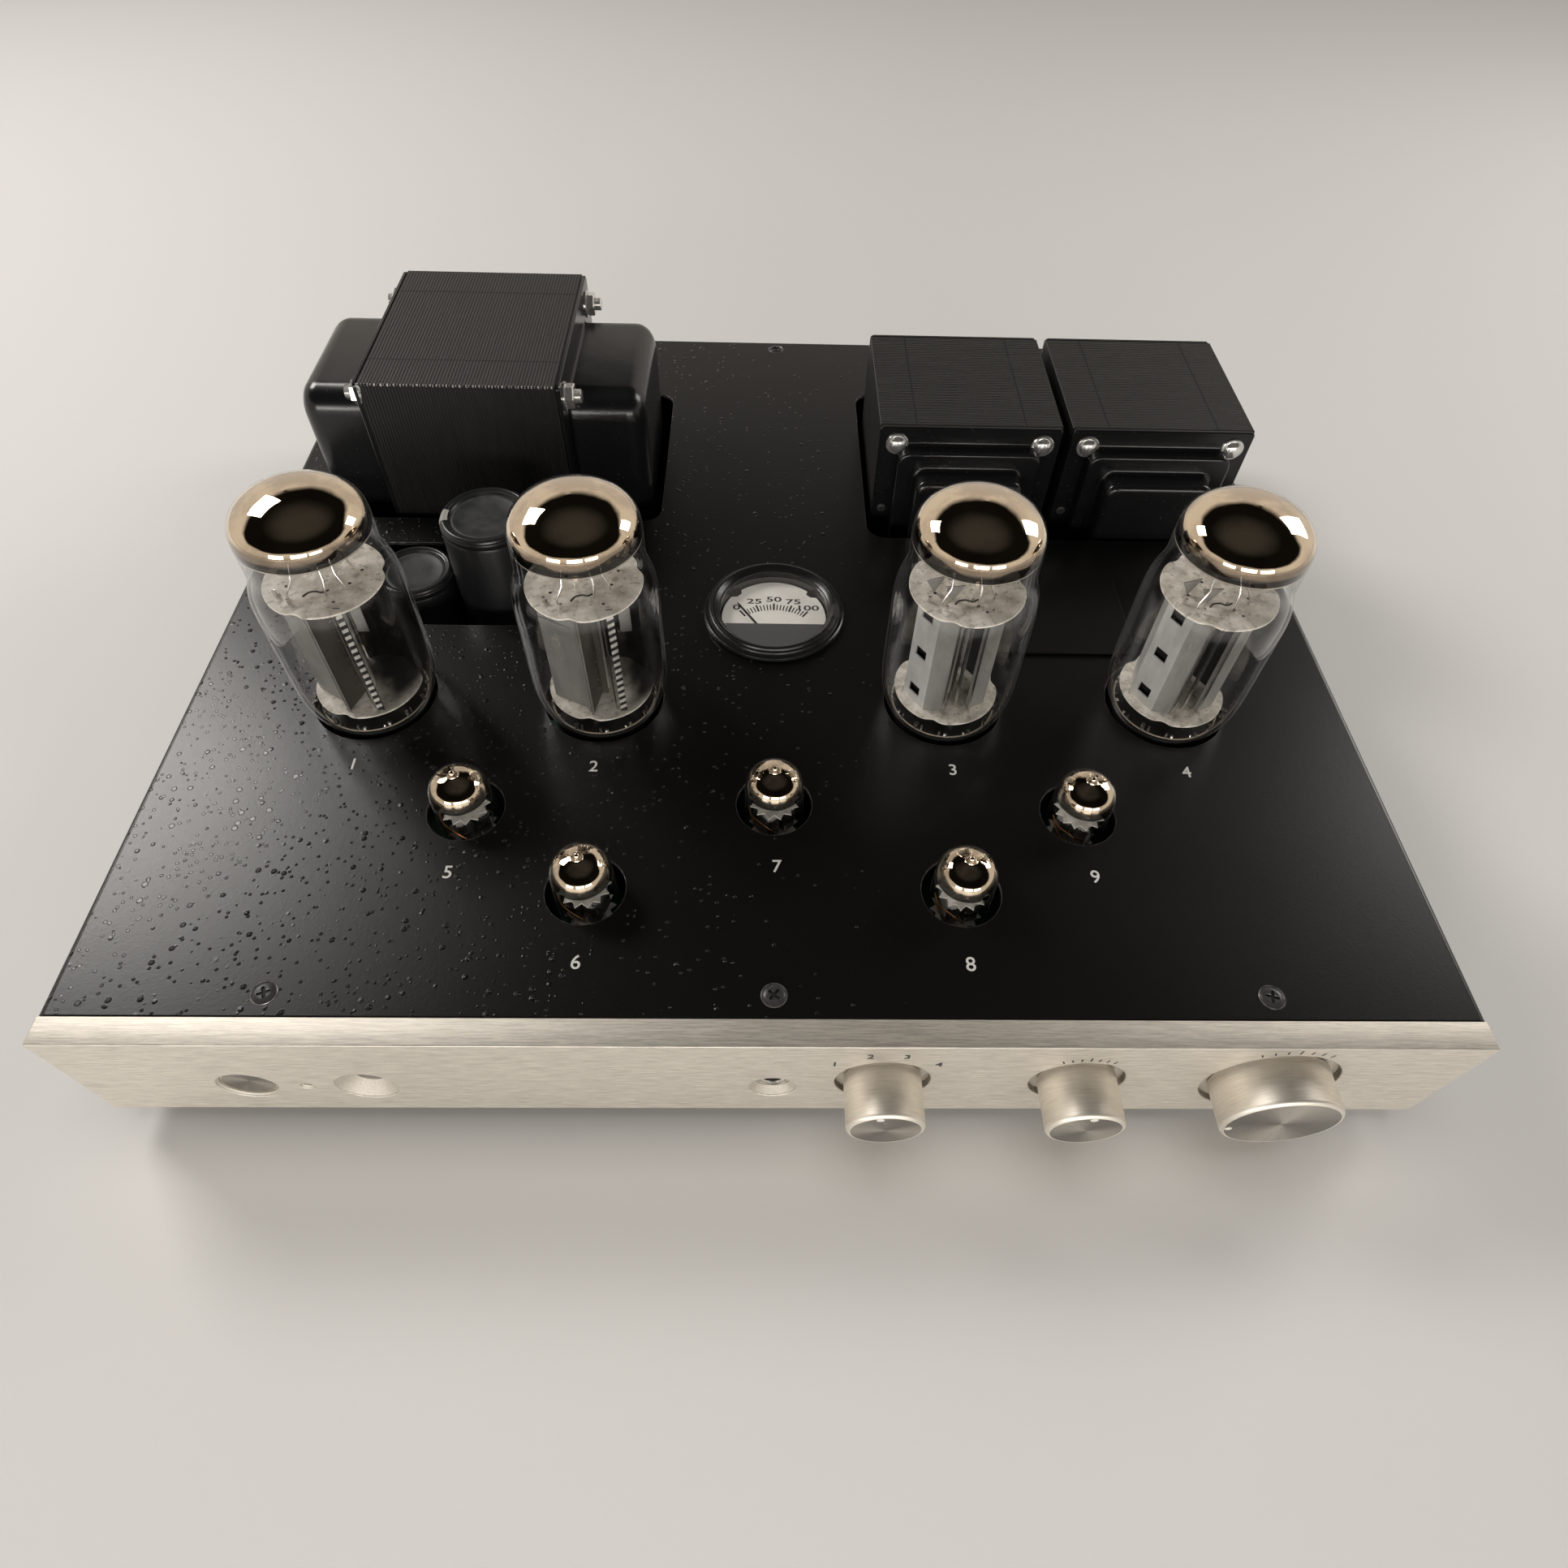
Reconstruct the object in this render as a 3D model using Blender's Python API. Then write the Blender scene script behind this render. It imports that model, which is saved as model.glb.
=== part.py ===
"""Stereo tube amplifier: a folded steel case with a thick front plate, four large power tubes,
five small tubes, a round panel meter, three transformers and two capacitors.

Metres, +Z up, front towards -Y. The origin is on the floor under the middle of the object.
Places on the object are given from the front middle of the deck, its top sheet: x to the right,
y to the back and z up from the deck's upper face.
"""

import math

import bmesh
import bpy
from mathutils import Euler, Vector

# Clearances
SEAT_GAP = 0.0003        # between pieces that rest on each other
RUN_GAP = 0.0002         # round a spindle or plunger in its bushing
SOCKET_GAP = 0.001       # round a tube's pins and key in its socket
OVERLAP = 0.0004         # of shapes joined into one piece
CUT_PAST = 0.002         # by which a cutter passes the wall it cuts

# Sides of round shapes
ROUND_WIDE = 18
ROUND_TUBE = 14
ROUND_SMALL = 12
ROUND_HIDDEN = 8
ROUND_PIN = 4

# Case
CASE_WIDTH = 0.457
CASE_DEPTH = 0.405
CASE_HEIGHT = 0.055
DECK_SHEET = 0.0016
TRAY_SHEET = 0.0015
TRAY_FLANGE = 0.015
DECK_CORNER = 0.009      # of the openings in the deck
VENT_SIZE = (0.0035, 0.044)
VENT_PITCH = 0.012
VENTS_EACH_SIDE = 4
FOOT_HEIGHT = 0.012
FOOT_RADIUS = 0.019
FOOT_TIP_RADIUS = 0.0164
FOOT_EDGE = 0.001
FOOT_INSET = (0.048, 0.048)
FOOT_SCREW_RADIUS = 0.006

# Front plate. Places on the front, the deck and the rear are shares of the case, so they go with its size
FRONT_THICKNESS = 0.0095
FRONT_EDGE = 0.0006
CONTROL_DROP = 0.5127 * CASE_HEIGHT      # knob axes below the deck
BUTTON_DROP = 0.6182 * CASE_HEIGHT       # button, lamp, window and headphone axes below the deck
KNOB_RECESS = 0.003
KNOB_CLEARANCE = 0.003
KNOB_SEAT = 0.002        # how far a knob sits down in its recess
KNOB_EDGE = 0.0016
KNOB_DIMPLE = 0.0012
KNOB_DIMPLE_INSET = 0.0027
SPINDLE_RADIUS = 0.003
BUSHING_RADIUS = 0.0047
BUSHING_HOLE = 0.0051
# name, x, radius, length in front of the plate, turn at rest from twelve o'clock in degrees
KNOBS = (
    ("selector", 0.07965 * CASE_WIDTH, 0.01295, 0.0164, 15),
    ("balance", 0.22188 * CASE_WIDTH, 0.01295, 0.0164, 0),
    ("volume", 0.36411 * CASE_WIDTH, 0.01935, 0.0142, 105),
)
CONTROL_RADIUS = {"selector": 0.0150, "balance": 0.0120, "volume": 0.0135}
CONTROL_DEPTH = {"selector": 0.0240, "balance": 0.0120, "volume": 0.0160}
BUTTON_X = -0.3814 * CASE_WIDTH
BUTTON_RADIUS = 0.0090
BUTTON_SINK = 0.0012
BUTTON_LENGTH = 0.0045
BUTTON_TRAVEL = 0.0025
BUTTON_DISH = 0.0006
RECESS_RADIUS = 0.01035
PLUNGER_RADIUS = 0.0025
SWITCH_SIZE = (0.016, 0.022, 0.016)
LAMP_X = -0.33851 * CASE_WIDTH
LAMP_RADIUS = 0.0015
LAMP_RECESS = 0.0024
LAMP_SINK = 0.0018        # shoulder of the lamp behind the front face
LAMP_DOME = 0.0009
WINDOW_X = -0.2954 * CASE_WIDTH
WINDOW_RADIUS = 0.0050
WINDOW_DEPTH = 0.0052
PHONES_X = 0.0
PHONES_RECESS = 0.0079
PHONES_BARREL = 0.0056
PHONES_BORE = 0.0032
PHONES_BORE_DEPTH = 0.021
PHONES_BODY = (0.016, 0.026, 0.014)

# Power tubes
POWER_X = tuple(share * CASE_WIDTH for share in (-0.34245, -0.14683, 0.14683, 0.34245))
POWER_Y = 0.33407 * CASE_DEPTH
POWER_TURN = (30, 30, -48, -48)
POWER_HOLE = 0.0233
BULB_FOOT = 0.0207
BULB_RADIUS = 0.0256
BULB_DOME = 0.0223
BULB_RISE = 0.013
BULB_SHOULDER = 0.057
BULB_SHOULDER_RUN = 0.011
BULB_DOME_START = 0.079
BULB_HEIGHT = 0.0965
BULB_WALL = 0.0013
LOWER_MICA = 0.008
UPPER_MICA = 0.059
LOWER_MICA_RADIUS = 0.0180
UPPER_MICA_RADIUS = 0.0205
MICA_SHEET = 0.0008
ANODE_LENGTH = 0.0270
ANODE_WIDTH = 0.0160
ANODE_FLAT = 0.0130
ANODE_WALL = 0.0009
ANODE_WING = 0.0042
ANODE_WINDOW = (0.0043, 0.0044)
ANODE_WINDOW_LEVELS = (0.16, 0.5, 0.84)  # shares of the anode's height
CATHODE_RADIUS = 0.0020
ROD_RADIUS = 0.0006
ROD_SPREAD = 0.0085
ROD_ABOVE = 0.007
STEM_RADIUS = 0.0085
COLLAR_RADIUS = 0.0205
COLLAR_HEIGHT = 0.013
SKIRT_RADIUS = 0.0168
SKIRT_HEIGHT = 0.003
OCTAL_PIN = 0.0012
OCTAL_PIN_CIRCLE = 0.0087
OCTAL_PIN_LENGTH = 0.011
OCTAL_KEY = 0.0039
OCTAL_KEY_LENGTH = 0.0135
OCTAL_SOCKET = 0.0170

# Small tubes
DRIVER_SHARES = ((-0.24376, 0.19802), (-0.14136, 0.11556), (0.0, 0.20642),
                 (0.14136, 0.11556), (0.24376, 0.19802))
DRIVER_SITES = tuple((x * CASE_WIDTH, y * CASE_DEPTH) for x, y in DRIVER_SHARES)
DRIVER_TURN = (35, -20, 35, 10, -30)
DRIVER_HOLE = 0.0138
DRIVER_RADIUS = 0.0105
DRIVER_TOP = 0.0193
DRIVER_LENGTH = 0.048
DRIVER_TIP = 0.003
DRIVER_TIP_RADIUS = 0.0016
DRIVER_WALL = 0.0009
DRIVER_MICA_DROP = 0.0095
DRIVER_MICA_RADIUS = 0.0086
DRIVER_MICA_TEETH = 10
DRIVER_ANODE = (0.0052, 0.0100, 0.018)
DRIVER_ANODE_SPREAD = 0.0063
NOVAL_PIN = 0.0005
NOVAL_PIN_CIRCLE = 0.0059
NOVAL_PIN_LENGTH = 0.007
NOVAL_PINS = 9
NOVAL_SOCKET = 0.0100
NOVAL_SOCKET_HEIGHT = 0.0095

# Circuit board
BOARD_SHEET = 0.0016
BOARD_MARGIN = 0.004
POST_RADIUS = 0.003
POST_INSET = 0.008

# Meter
METER_Y = 0.4563 * CASE_DEPTH
METER_FLANGE = 0.030
METER_BEZEL = 0.0290
METER_BODY = 0.0254
METER_DEPTH = 0.020
METER_GLASS = 0.0260
METER_BORE = 0.0236
METER_TOP = 0.0049
METER_SHOULDER = 0.0034
METER_RING = 0.0268
METER_GLASS_SHEET = 0.0010
METER_DIAL_DROP = 0.0025
METER_DIAL_SHEET = 0.0005
METER_DIAL_RADIUS = 0.0210
METER_DIAL_NOTCH = 0.002
METER_HOLE_GAP = 0.0008
COVER_EDGE = -0.0070     # front cover of the movement, from the meter's middle
COVER_SHEET = 0.0010
COVER_RISE = 0.0030      # top of that cover above the dial
NEEDLE_PIVOT = -0.0165
NEEDLE_LENGTH = 0.0250
NEEDLE_HUB = 0.0022
NEEDLE_WIDTH = 0.0009
NEEDLE_REST = 33         # degrees to the left of upright

# Power transformer: the unit is the width of one leg of a lamination
MAINS_X = -0.29103 * CASE_WIDTH
MAINS_FRONT = 0.61605 * CASE_DEPTH
MAINS_UNIT = 0.0195
MAINS_STACK = 0.082
MAINS_BELL_DEPTH = 0.033
MAINS_BELL_INSET = 0.0125
MAINS_BELL_ROUND = 0.011
MAINS_COIL_REACH = 0.023
MAINS_MARGIN = 0.0045

# Output transformers
OUTPUT_UNIT = 0.0162
OUTPUT_STACK = 0.0745
OUTPUT_SIDE = 0.0160     # from the right one to the side of the case
OUTPUT_GAP = 0.0043      # between the two
OUTPUT_FRONT = 0.63704 * CASE_DEPTH
OUTPUT_STEP_INSET = 0.0085
OUTPUT_STEP_DEPTH = 0.0070
OUTPUT_BELL_INSET = 0.0165
OUTPUT_BELL_DEPTH = 0.0175
OUTPUT_BELL_ROUND = 0.006
OUTPUT_COIL_REACH = 0.0105
OUTPUT_MARGIN = 0.003
BELL_SHEET = 0.0015
BELL_CORNER = 0.014
BELL_RIM_CORNER = 0.6    # how much of the rim's set-back the corners follow
COIL_GAP = 0.002

# Capacitors in front of the power transformer, one to the right of its middle and one to the left
TALL_RIGHT = 0.0140
TALL_AHEAD = 0.0445
SHORT_LEFT = 0.0226
SHORT_AHEAD = 0.0455
# name, x, y, radius, height of the top above the deck
CAPACITORS = (
    ("tall", MAINS_X + TALL_RIGHT, MAINS_FRONT - TALL_AHEAD, 0.019, 0.034),
    ("short", MAINS_X - SHORT_LEFT, MAINS_FRONT - SHORT_AHEAD, 0.0165, 0.005),
)
CAPACITOR_RIM = 0.0016
CAPACITOR_DISC = 0.7     # disc radius as a share of the can's
CAPACITOR_MARGIN = 0.004
CAPACITOR_FRONT_MARGIN = 0.0115

# Access cover beside the output transformers
ACCESS_X = 0.24464 * CASE_WIDTH
ACCESS_FRONT = 0.39877 * CASE_DEPTH
ACCESS_SIZE = (0.078, 0.050)
ACCESS_SHEET = 0.0012
ACCESS_LAP = 0.005

# Rear connectors
REAR_DROP = 0.5091 * CASE_HEIGHT         # their axes below the deck
INLET_X = -0.32823 * CASE_WIDTH
INLET_FLANGE = (0.050, 0.030)
INLET_BODY = (0.0300, 0.0230)
INLET_BODY_DEPTH = 0.024
INLET_CAVITY = (0.0245, 0.0170)
INLET_CAVITY_DEPTH = 0.016
INLET_PIN = (0.002, 0.004)
INLET_BLADES = ((-0.007, -0.002), (0.0, 0.002), (0.007, -0.002))
INLET_SHEET = 0.003
INLET_CORNER = 0.003
JACKS_X = 0.09847 * CASE_WIDTH
JACK_PITCH = (0.022, 0.018)
JACK_COLUMNS = 4
JACK_RADIUS = 0.0042
JACK_LENGTH = 0.0095
JACK_BORE = 0.0016
JACK_PLATE = 0.002
JACK_RIM = 0.003
JACK_BACK = 0.008
TERMINAL_X = 0.34573 * CASE_WIDTH
TERMINAL_WAYS = 6
TERMINAL_PITCH = 0.0145
TERMINAL_DEPTH = 0.022
TERMINAL_BODY = 0.0132
TERMINAL_BASE = 0.006
TERMINAL_FENCE = 0.0115
TERMINAL_FENCE_SHEET = 0.002
TERMINAL_SCREW = 0.0042
TERMINAL_SCREW_HEIGHT = 0.0025
TERMINAL_BACK = 0.008

# Derived places
OUTPUT_RIGHT = CASE_WIDTH / 2 - OUTPUT_SIDE - 2.5 * OUTPUT_UNIT
OUTPUT_X = (OUTPUT_RIGHT - 5 * OUTPUT_UNIT - OUTPUT_GAP, OUTPUT_RIGHT)
KNOB_REACH = max(knob[3] for knob in KNOBS)
REAR_REACH = SEAT_GAP + max(TERMINAL_FENCE, JACK_PLATE + JACK_LENGTH, INLET_SHEET)
DECK_TOP = FOOT_HEIGHT + SEAT_GAP + CASE_HEIGHT
DECK_FRONT = (FRONT_THICKNESS + KNOB_REACH - CASE_DEPTH - REAR_REACH) / 2
FLOOR = -CASE_HEIGHT + TRAY_SHEET
TRAY_TOP = -DECK_SHEET - SEAT_GAP
TRAY_HALF = CASE_WIDTH / 2 - DECK_SHEET - SEAT_GAP
WALL_BACK = SEAT_GAP + TRAY_SHEET                    # inner face of the tray's front wall
REAR_FACE = CASE_DEPTH
SOCKET_TOP = -COLLAR_HEIGHT - SKIRT_HEIGHT - SEAT_GAP
DRIVER_SEAT = DRIVER_TOP - DRIVER_LENGTH - SEAT_GAP
BOARD_TOP = DRIVER_SEAT - SEAT_GAP - NOVAL_SOCKET_HEIGHT
TURN_FORWARD = Euler((math.pi / 2, 0, 0))            # local +Z towards the front
TURN_BACK = Euler((-math.pi / 2, 0, 0))              # local +Z towards the back


def deck(x, y, z=0.0):
    """World place of a point given from the front middle of the deck."""
    return Vector((x, DECK_FRONT + y, DECK_TOP + z))


# Shapes

def finish(name, mesh):
    """An object from a bmesh, with its faces turned outwards."""
    bmesh.ops.recalc_face_normals(mesh, faces=mesh.faces)
    data = bpy.data.meshes.new(name)
    mesh.to_mesh(data)
    mesh.free()
    made = bpy.data.objects.new(name, data)
    bpy.context.collection.objects.link(made)
    return made


def arc(centre, radius, start, end, steps):
    """Points on a circle, with the angles in degrees."""
    angles = [math.radians(start + (end - start) * i / steps) for i in range(steps + 1)]
    return [(centre[0] + radius * math.cos(a), centre[1] + radius * math.sin(a)) for a in angles]


def circle(radius, steps, centre=(0, 0)):
    return arc(centre, radius, 0, 360, steps)[:-1]


def rectangle(width, depth, radius=0.0, steps=3, centre=(0, 0)):
    """Outline of a rectangle, with round corners where a radius is given."""
    x, y = width / 2 - radius, depth / 2 - radius
    corners = ((x, y, 0), (-x, y, 90), (-x, -y, 180), (x, -y, 270))
    points = []
    for cx, cy, start in corners:
        middle = (centre[0] + cx, centre[1] + cy)
        points += arc(middle, radius, start, start + 90, steps) if radius else [middle]
    return points


def turned(name, profile, steps):
    """Solid of revolution about local Z from (radius, height) points. It is a ring if none is on the axis."""
    mesh = bmesh.new()
    points = [mesh.verts.new((radius, 0, height)) for radius, height in profile]
    pairs = list(zip(points, points[1:]))
    if profile[0][0] > 0:
        pairs.append((points[-1], points[0]))
    edges = [mesh.edges.new(pair) for pair in pairs]
    bmesh.ops.spin(mesh, geom=points + edges, axis=(0, 0, 1), cent=(0, 0, 0), angle=math.tau, steps=steps,
                   use_merge=True)
    bmesh.ops.remove_doubles(mesh, verts=mesh.verts, dist=1e-6)
    return finish(name, mesh)


def lofted(name, rings):
    """Solid through rings that all have the same number of points, closed by a flat face at each end."""
    mesh = bmesh.new()
    loops = [[mesh.verts.new(point) for point in ring] for ring in rings]
    for low, high in zip(loops, loops[1:]):
        for i in range(len(low)):
            j = (i + 1) % len(low)
            mesh.faces.new((low[i], low[j], high[j], high[i]))
    mesh.faces.new(loops[0])
    mesh.faces.new(loops[-1])
    return finish(name, mesh)


def prism(name, outline, low, high):
    """An outline in local XY carried from one height to another."""
    return lofted(name, [[(x, y, z) for x, y in outline] for z in (low, high)])


def cylinder(name, radius, low, high, steps, centre=(0, 0)):
    return prism(name, circle(radius, steps, centre), low, high)


def block(name, low, high):
    corners = ((low[0], low[1]), (high[0], low[1]), (high[0], high[1]), (low[0], high[1]))
    return prism(name, corners, low[2], high[2])


def place(made, where, turn=None):
    made.location = where
    if turn:
        made.rotation_euler = turn
    return made


def combine(made, tools, operation):
    """Join the tools to a piece, or cut them from it, and keep the result as one plain mesh."""
    for tool in tools:
        step = made.modifiers.new(operation.title(), "BOOLEAN")
        step.operation = operation
        step.solver = "EXACT"
        step.object = tool
    graph = bpy.context.evaluated_depsgraph_get()
    data = bpy.data.meshes.new_from_object(made.evaluated_get(graph))
    made.modifiers.clear()
    made.data = data
    for tool in tools:
        bpy.data.objects.remove(tool)
    return made


def joined(made, tools):
    return combine(made, tools, "UNION")


def cut(made, tools):
    return combine(made, tools, "DIFFERENCE")


# Materials: colour, metallic, roughness, transmission
LOOKS = {
    "black_steel": ((0.012, 0.012, 0.013), 0.0, 0.42, 0.0),
    "aluminium": ((0.72, 0.71, 0.69), 1.0, 0.32, 0.0),
    "rubber": ((0.02, 0.02, 0.02), 0.0, 0.8, 0.0),
    "glass": ((1.0, 1.0, 1.0), 0.0, 0.03, 1.0),
    "grey_metal": ((0.28, 0.27, 0.26), 0.7, 0.5, 0.0),
    "black_plastic": ((0.015, 0.015, 0.016), 0.0, 0.35, 0.0),
    "core_steel": ((0.03, 0.03, 0.032), 0.5, 0.4, 0.0),
    "board": ((0.02, 0.09, 0.05), 0.0, 0.5, 0.0),
    "sleeve": ((0.015, 0.016, 0.018), 0.0, 0.38, 0.0),
    "dial": ((0.85, 0.80, 0.66), 0.0, 0.6, 0.0),
    "needle": ((0.02, 0.02, 0.02), 0.0, 0.5, 0.0),
    "lamp": ((0.80, 0.82, 0.85), 0.0, 0.2, 0.5),
    "nickel": ((0.62, 0.61, 0.58), 1.0, 0.25, 0.0),
}


def dress(made, look):
    """Give the piece its own material, and smooth shading with its sharp edges kept."""
    colour, metallic, roughness, transmission = LOOKS[look]
    material = bpy.data.materials.new(made.name)
    material.use_nodes = True
    inputs = material.node_tree.nodes["Principled BSDF"].inputs
    inputs["Base Color"].default_value = (*colour, 1.0)
    inputs["Metallic"].default_value = metallic
    inputs["Roughness"].default_value = roughness
    inputs["Transmission Weight"].default_value = transmission
    made.data.materials.clear()
    made.data.materials.append(material)
    made.data.shade_smooth()
    made.data.set_sharp_from_angle(angle=math.radians(35))
    return made


# Case

def transformer_height(unit):
    return FLOOR + SEAT_GAP + 6 * unit


def mains_opening():
    """Opening in the deck round the power transformer: outline in deck places."""
    width = MAINS_STACK + 2 * (MAINS_BELL_DEPTH + BELL_SHEET + SEAT_GAP + MAINS_MARGIN)
    depth = 5 * MAINS_UNIT + 2 * MAINS_MARGIN
    return rectangle(width, depth, DECK_CORNER, 3, (MAINS_X, MAINS_FRONT + 2.5 * MAINS_UNIT))


def output_opening():
    """One opening round both output transformers."""
    left, right = OUTPUT_X
    width = right - left + 5 * OUTPUT_UNIT + 2 * OUTPUT_MARGIN
    depth = OUTPUT_STACK + 2 * (OUTPUT_BELL_DEPTH + BELL_SHEET + SEAT_GAP + OUTPUT_MARGIN)
    return rectangle(width, depth, DECK_CORNER, 3, ((left + right) / 2, OUTPUT_FRONT + OUTPUT_STACK / 2))


def capacitor_opening():
    sides = [x + s * (r + CAPACITOR_MARGIN) for _, x, _, r, _ in CAPACITORS for s in (-1, 1)]
    front = min(y - r for _, _, y, r, _ in CAPACITORS) - CAPACITOR_FRONT_MARGIN
    back = max(y + r for _, _, y, r, _ in CAPACITORS) + CAPACITOR_MARGIN
    centre = ((min(sides) + max(sides)) / 2, (front + back) / 2)
    return rectangle(max(sides) - min(sides), back - front, CAPACITOR_MARGIN, 2, centre)


def access_outline(lap, radius):
    centre = (ACCESS_X, ACCESS_FRONT + ACCESS_SIZE[1] / 2)
    return rectangle(ACCESS_SIZE[0] - 2 * lap, ACCESS_SIZE[1] - 2 * lap, radius, 3, centre)


def top_cover():
    """Deck sheet folded down at both sides, with an opening for each piece that stands through it."""
    half, inner = CASE_WIDTH / 2, CASE_WIDTH / 2 - DECK_SHEET
    low = -CASE_HEIGHT + SEAT_GAP
    fold = ((-half, low), (-inner, low), (-inner, -DECK_SHEET), (inner, -DECK_SHEET), (inner, low),
            (half, low), (half, 0), (-half, 0))
    made = lofted("top_cover", [[(x, y, z) for x, z in fold] for y in (SEAT_GAP, CASE_DEPTH)])
    place(made, deck(0, 0))
    holes = [circle(POWER_HOLE, ROUND_WIDE, (x, POWER_Y)) for x in POWER_X]
    holes += [circle(DRIVER_HOLE, ROUND_SMALL, site) for site in DRIVER_SITES]
    holes.append(circle(METER_BODY + METER_HOLE_GAP, ROUND_TUBE, (0, METER_Y)))
    holes += [mains_opening(), output_opening(), capacitor_opening(), access_outline(ACCESS_LAP, ACCESS_LAP)]
    tools = [prism("hole", outline, -DECK_SHEET - CUT_PAST, CUT_PAST) for outline in holes]
    return cut(made, [place(tool, deck(0, 0)) for tool in tools])


def rear_hole(x, drop, size):
    """Cutter through the rear wall of the tray."""
    low = (x - size[0] / 2, REAR_FACE - TRAY_SHEET - CUT_PAST, -drop - size[1] / 2)
    high = (x + size[0] / 2, REAR_FACE + CUT_PAST, -drop + size[1] / 2)
    return place(block("hole", low, high), deck(0, 0))


def clear(radius, steps):
    """Corner radius of a round hole whose flats leave a circle of the given radius clear."""
    return radius / math.cos(math.pi / steps)


def front_hole(x, drop, radius):
    """Cutter through the front wall of the tray."""
    corner = clear(radius, ROUND_HIDDEN)
    tool = cylinder("hole", corner, -WALL_BACK - CUT_PAST, CUT_PAST, ROUND_HIDDEN)
    return place(tool, deck(x, 0, -drop), TURN_FORWARD)


def chassis_tray():
    """Floor with front and rear walls, folded in at the top to take the deck."""
    front, back, sheet = SEAT_GAP, REAR_FACE - SEAT_GAP, TRAY_SHEET
    low, top = -CASE_HEIGHT, TRAY_TOP
    near, far = front + TRAY_FLANGE, back - TRAY_FLANGE
    fold = ((front, low), (back, low), (back, top), (far, top), (far, top - sheet),
            (back - sheet, top - sheet), (back - sheet, low + sheet), (front + sheet, low + sheet),
            (front + sheet, top - sheet), (near, top - sheet), (near, top), (front, top))
    made = lofted("chassis_tray", [[(x, y, z) for y, z in fold] for x in (-TRAY_HALF, TRAY_HALF)])
    place(made, deck(0, 0))
    tools = [front_hole(knob[1], CONTROL_DROP, BUSHING_HOLE) for knob in KNOBS]
    tools.append(front_hole(BUTTON_X, BUTTON_DROP, PLUNGER_RADIUS + SEAT_GAP))
    tools.append(front_hole(LAMP_X, BUTTON_DROP, LAMP_RADIUS + SEAT_GAP))
    tools.append(front_hole(PHONES_X, BUTTON_DROP, PHONES_BARREL + SEAT_GAP))
    gap = 2 * SEAT_GAP
    tools.append(rear_hole(INLET_X, REAR_DROP, (INLET_BODY[0] + gap, INLET_BODY[1] + gap)))
    tools.append(rear_hole(JACKS_X, REAR_DROP, [size + gap for size in jack_body()]))
    tools.append(rear_hole(TERMINAL_X, REAR_DROP, [size + gap for size in terminal_body()]))
    for side in (-1, 1):
        for i in range(VENTS_EACH_SIDE):
            x = side * (POWER_X[3] + POWER_X[2]) / 2 + (i - (VENTS_EACH_SIDE - 1) / 2) * VENT_PITCH
            outline = rectangle(*VENT_SIZE, centre=(x, POWER_Y - BULB_RADIUS))
            slot = prism("slot", outline, -CASE_HEIGHT - CUT_PAST, FLOOR + CUT_PAST)
            tools.append(place(slot, deck(0, 0)))
    return cut(made, tools)


def foot(name, side, end):
    """Tapered rubber foot with a sunk screw hole underneath."""
    depth = FOOT_HEIGHT / 2
    profile = [(0, depth), (FOOT_SCREW_RADIUS, depth), (FOOT_SCREW_RADIUS, 0), (FOOT_TIP_RADIUS, 0),
               (FOOT_TIP_RADIUS + FOOT_EDGE, FOOT_EDGE), (FOOT_RADIUS, FOOT_HEIGHT), (0, FOOT_HEIGHT)]
    x = side * (CASE_WIDTH / 2 - FOOT_INSET[0])
    y = FOOT_INSET[1] if end < 0 else CASE_DEPTH - FOOT_INSET[1]
    return place(turned(name, profile, ROUND_SMALL), (x, DECK_FRONT + y, 0))


def access_cover():
    made = prism("access_cover", access_outline(0, ACCESS_LAP), SEAT_GAP, SEAT_GAP + ACCESS_SHEET)
    return place(made, deck(0, 0))


# Front plate and controls

def recess(x, drop, profile, steps):
    """Turned cutter for the front plate. Heights run outwards from its front face."""
    tool = turned("recess", profile, steps)
    return place(tool, deck(x, -FRONT_THICKNESS, -drop), TURN_FORWARD)


def through(mouth, depth, bore, cone):
    """Profile of a recess with a bore behind it. A cone slopes from the mouth to the bore or the floor."""
    back = -FRONT_THICKNESS - CUT_PAST
    foot_radius = cone if cone else mouth
    return [(0, back), (bore, back), (bore, -depth), (foot_radius, -depth), (mouth, 0), (mouth, CUT_PAST),
            (0, CUT_PAST)]


def faceplate():
    """Thick plate with turned recesses for the knobs, button, lamp, window and headphone socket."""
    half = CASE_WIDTH / 2
    made = block("faceplate", (-half, -FRONT_THICKNESS, -CASE_HEIGHT), (half, 0, 0))
    bevel = made.modifiers.new("Edges", "BEVEL")
    bevel.width = FRONT_EDGE
    bevel.segments = 1
    place(made, deck(0, 0))
    tools = []
    for _, x, radius, _, _ in KNOBS:
        profile = through(radius + KNOB_CLEARANCE, KNOB_RECESS, BUSHING_HOLE, None)
        tools.append(recess(x, CONTROL_DROP, profile, ROUND_WIDE))
    dishes = ((BUTTON_X, RECESS_RADIUS, BUTTON_SINK, BUTTON_RADIUS + RUN_GAP, ROUND_TUBE),
              (LAMP_X, LAMP_RECESS, LAMP_RADIUS, LAMP_RADIUS + SEAT_GAP, ROUND_HIDDEN),
              (WINDOW_X, RECESS_RADIUS, WINDOW_DEPTH, WINDOW_RADIUS + SEAT_GAP, ROUND_TUBE),
              (PHONES_X, PHONES_RECESS, KNOB_RECESS, PHONES_BARREL + SEAT_GAP, ROUND_TUBE))
    for x, mouth, depth, bore, steps in dishes:
        tools.append(recess(x, BUTTON_DROP, through(mouth, depth, bore, bore + RUN_GAP), steps))
    return cut(made, tools)


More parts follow.
